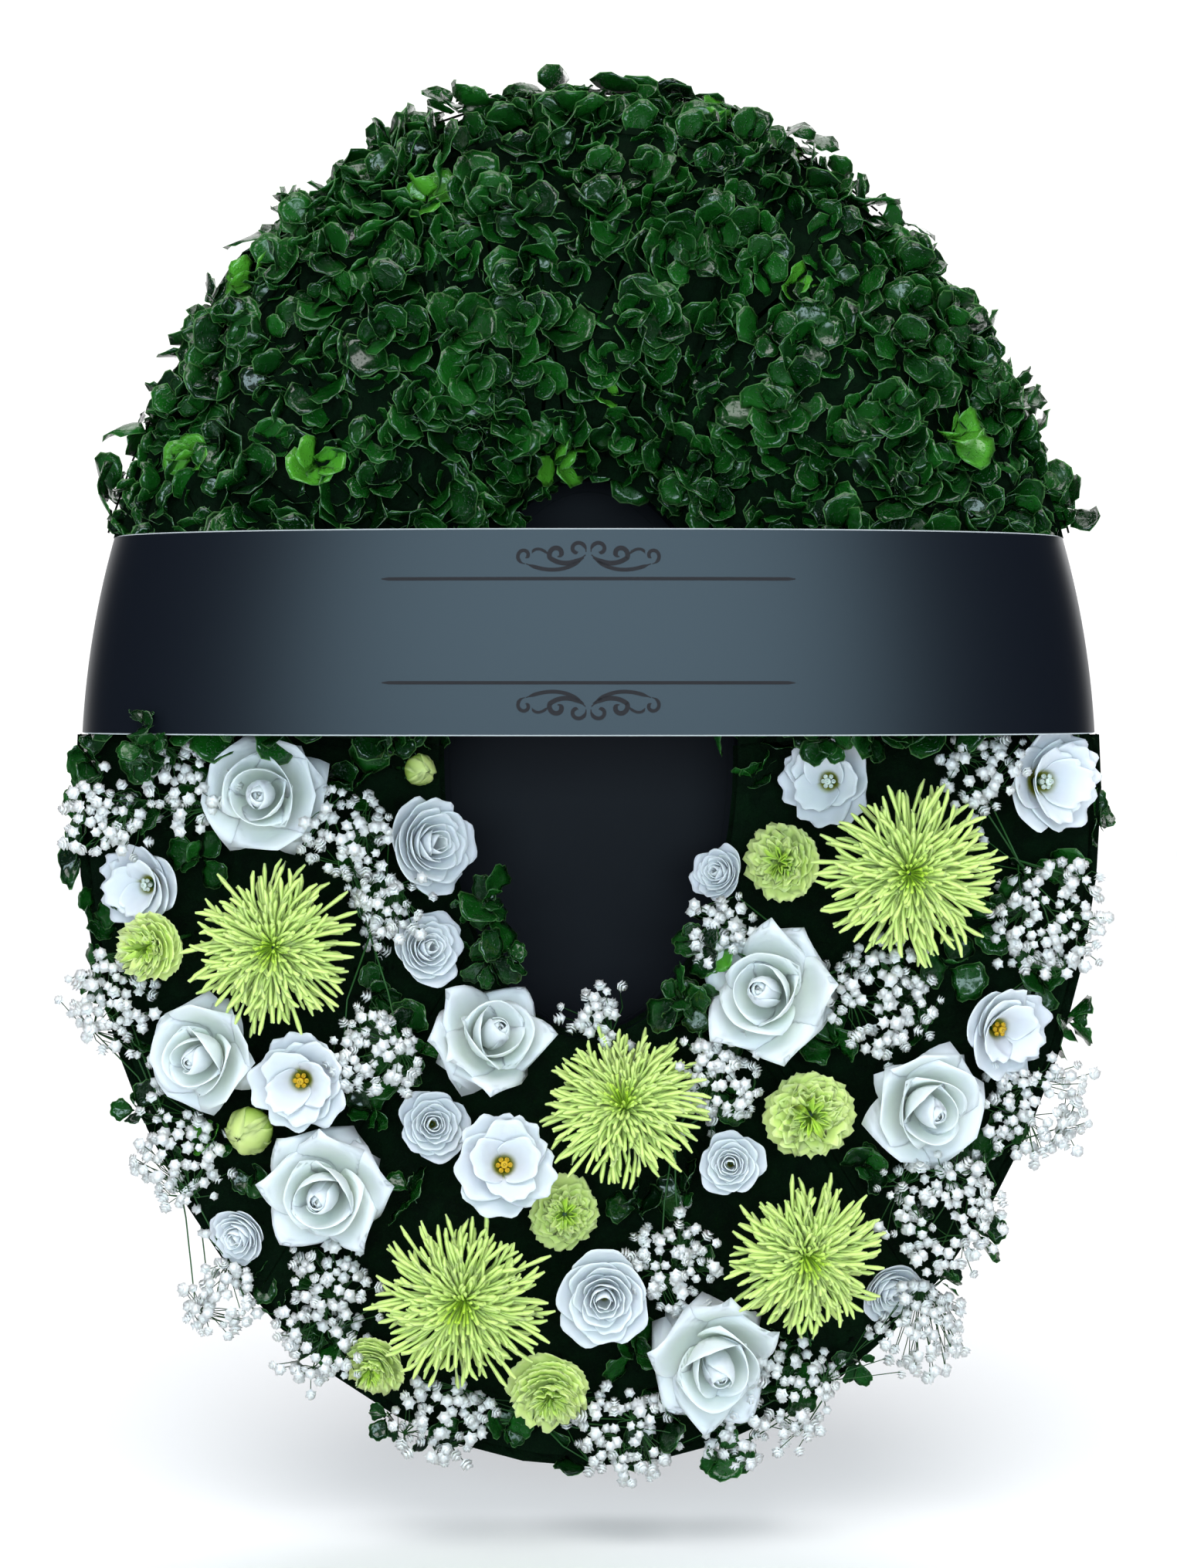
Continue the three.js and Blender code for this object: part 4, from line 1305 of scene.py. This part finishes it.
class WREATH_OT_sprays(bpy.types.Operator):
    """Makes the sprays of baby's breath"""

    bl_idname = "wreath.sprays"
    bl_label = "Baby's breath"

    def execute(self, context):
        make_looks(context.scene)
        settings = context.scene.wreath_flowers
        for number, node in enumerate(nodes_named("babys_breath_")):
            rng = np.random.default_rng([settings.seed, number, 99])
            florets, stalks = babys_breath(node, rng, settings)
            florets.piece(f"{node}_florets", "floret", "floret", node)
            stalks.piece(f"{node}_stalks", "stalk", "leaf")
        return {"FINISHED"}


class WREATH_OT_band(bpy.types.Operator):
    """Makes the message band, its ornament and its pins"""

    bl_idname = "wreath.band"
    bl_label = "Message band"

    def execute(self, context):
        make_looks(context.scene)
        settings = context.scene.wreath_band
        message_band(settings)
        ornament(settings)
        for node in nodes_named("band_pin_"):
            enamelled_pin(node)
        return {"FINISHED"}


class WREATH_OT_stage(bpy.types.Operator):
    """Makes the floor, the lights, the surroundings and the camera"""

    bl_idname = "wreath.stage"
    bl_label = "Stage"

    def execute(self, context):
        make_looks(context.scene)
        settings = context.scene.wreath_stage
        make_floor(settings)
        aim = Vector((0.0, -0.12, 0.003))
        sun("Sun", settings.sun, (-0.08, -1.0, 1.4))
        area("Front", settings.front, (0.0, -3.3, 0.25), aim, (3.4, 1.2), (0.68, 0.92, 1.0))
        sun("High sun", settings.high_sun, (0.1, 0.75, 1.6))
        sun("Fill", settings.fill, (0.0, -1.0, 0.1)).visible_glossy = False
        area("Rear", settings.rear, (1.3, 2.2, 1.2), aim, (1.6, 1.6), (1.0, 1.0, 1.0))
        surroundings(context.scene)
        camera = bpy.data.cameras.new("Camera")
        camera.lens = settings.lens
        place = (0.0, aim.y - settings.distance, settings.camera_height)
        context.scene.camera = aimed(camera, place, aim)
        context.scene.view_settings.view_transform = "Standard"
        return {"FINISHED"}


FLOOR_REACH = 9.0
SUN_ANGLE = math.radians(45)


def make_floor(settings):
    corners = FLOOR_REACH * np.array([[-1, -1], [1, -1], [1, 1], [-1, 1]])
    points = np.column_stack([corners, np.full(4, -settings.floor_drop)])
    floor = Skin((points, None, None, [[0, 1, 2, 3]])).build("floor", "floor")
    floor.visible_glossy = False


def aimed(data, place, aim):
    """An object for a lamp or a camera, at a place and turned to its aim."""
    made = bpy.data.objects.new(data.name, data)
    bpy.context.scene.collection.objects.link(made)
    made.location = place
    made.rotation_euler = (aim - made.location).to_track_quat("-Z", "Y").to_euler()
    return made


def sun(name, strength, place):
    light = bpy.data.lights.new(name, "SUN")
    light.energy, light.angle = strength, SUN_ANGLE
    return aimed(light, place, Vector((0, 0, 0)))


def area(name, power, place, aim, size, tone):
    light = bpy.data.lights.new(name, "AREA")
    light.shape, light.energy, light.color = "RECTANGLE", power, tone
    light.size, light.size_y = size
    return aimed(light, place, aim)


def surroundings(scene):
    """White behind the wreath, and dim to its sides and in front, so that the black band stays dark."""
    scene.world = bpy.data.worlds.new("Surroundings")
    scene.world.use_nodes = True
    s = Sockets(scene.world.node_tree)
    way = s.node("ShaderNodeTexCoord", output="Generated")
    behind = s.node("ShaderNodeSeparateXYZ", {0: way}, output=1)
    tone = s.mix(s.ramp(behind, 0.55, 0.85), (0.07, 0.08, 0.1, 1.0), (1.15, 1.15, 1.15, 1.0))
    light = s.node("ShaderNodeBackground", {"Color": tone, "Strength": 1.0})
    s.node("ShaderNodeOutputWorld", {"Surface": light})


class WREATH_PT_panel(bpy.types.Panel):
    """The wreath's settings and pieces"""

    bl_label = "Memorial wreath"
    bl_idname = "WREATH_PT_panel"
    bl_space_type = "VIEW_3D"
    bl_region_type = "UI"
    bl_category = "Wreath"

    def draw(self, context):
        layout = self.layout
        for key, group in GROUPS.items():
            settings = getattr(context.scene, key)
            box = layout.box()
            box.label(text=group.__doc__)
            for name in group.__annotations__:
                box.prop(settings, name)
        for operator in OPERATORS:
            layout.operator(operator.bl_idname)


OPERATORS = (
    WREATH_OT_back,
    WREATH_OT_greenery,
    WREATH_OT_flowers,
    WREATH_OT_sprays,
    WREATH_OT_band,
    WREATH_OT_stage,
)


def register():
    for key, group in GROUPS.items():
        bpy.utils.register_class(group)
        setattr(bpy.types.Scene, key, bpy.props.PointerProperty(type=group))
    for kind in (*OPERATORS, WREATH_PT_panel):
        bpy.utils.register_class(kind)


def unregister():
    for kind in (*OPERATORS, WREATH_PT_panel):
        bpy.utils.unregister_class(kind)
    for key, group in GROUPS.items():
        delattr(bpy.types.Scene, key)
        bpy.utils.unregister_class(group)


def main():
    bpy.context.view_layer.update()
    register()
    bpy.ops.wreath.back()
    bpy.ops.wreath.greenery()
    bpy.ops.wreath.flowers()
    bpy.ops.wreath.sprays()
    bpy.ops.wreath.band()
    bpy.ops.wreath.stage()


if __name__ == "__main__":
    main()
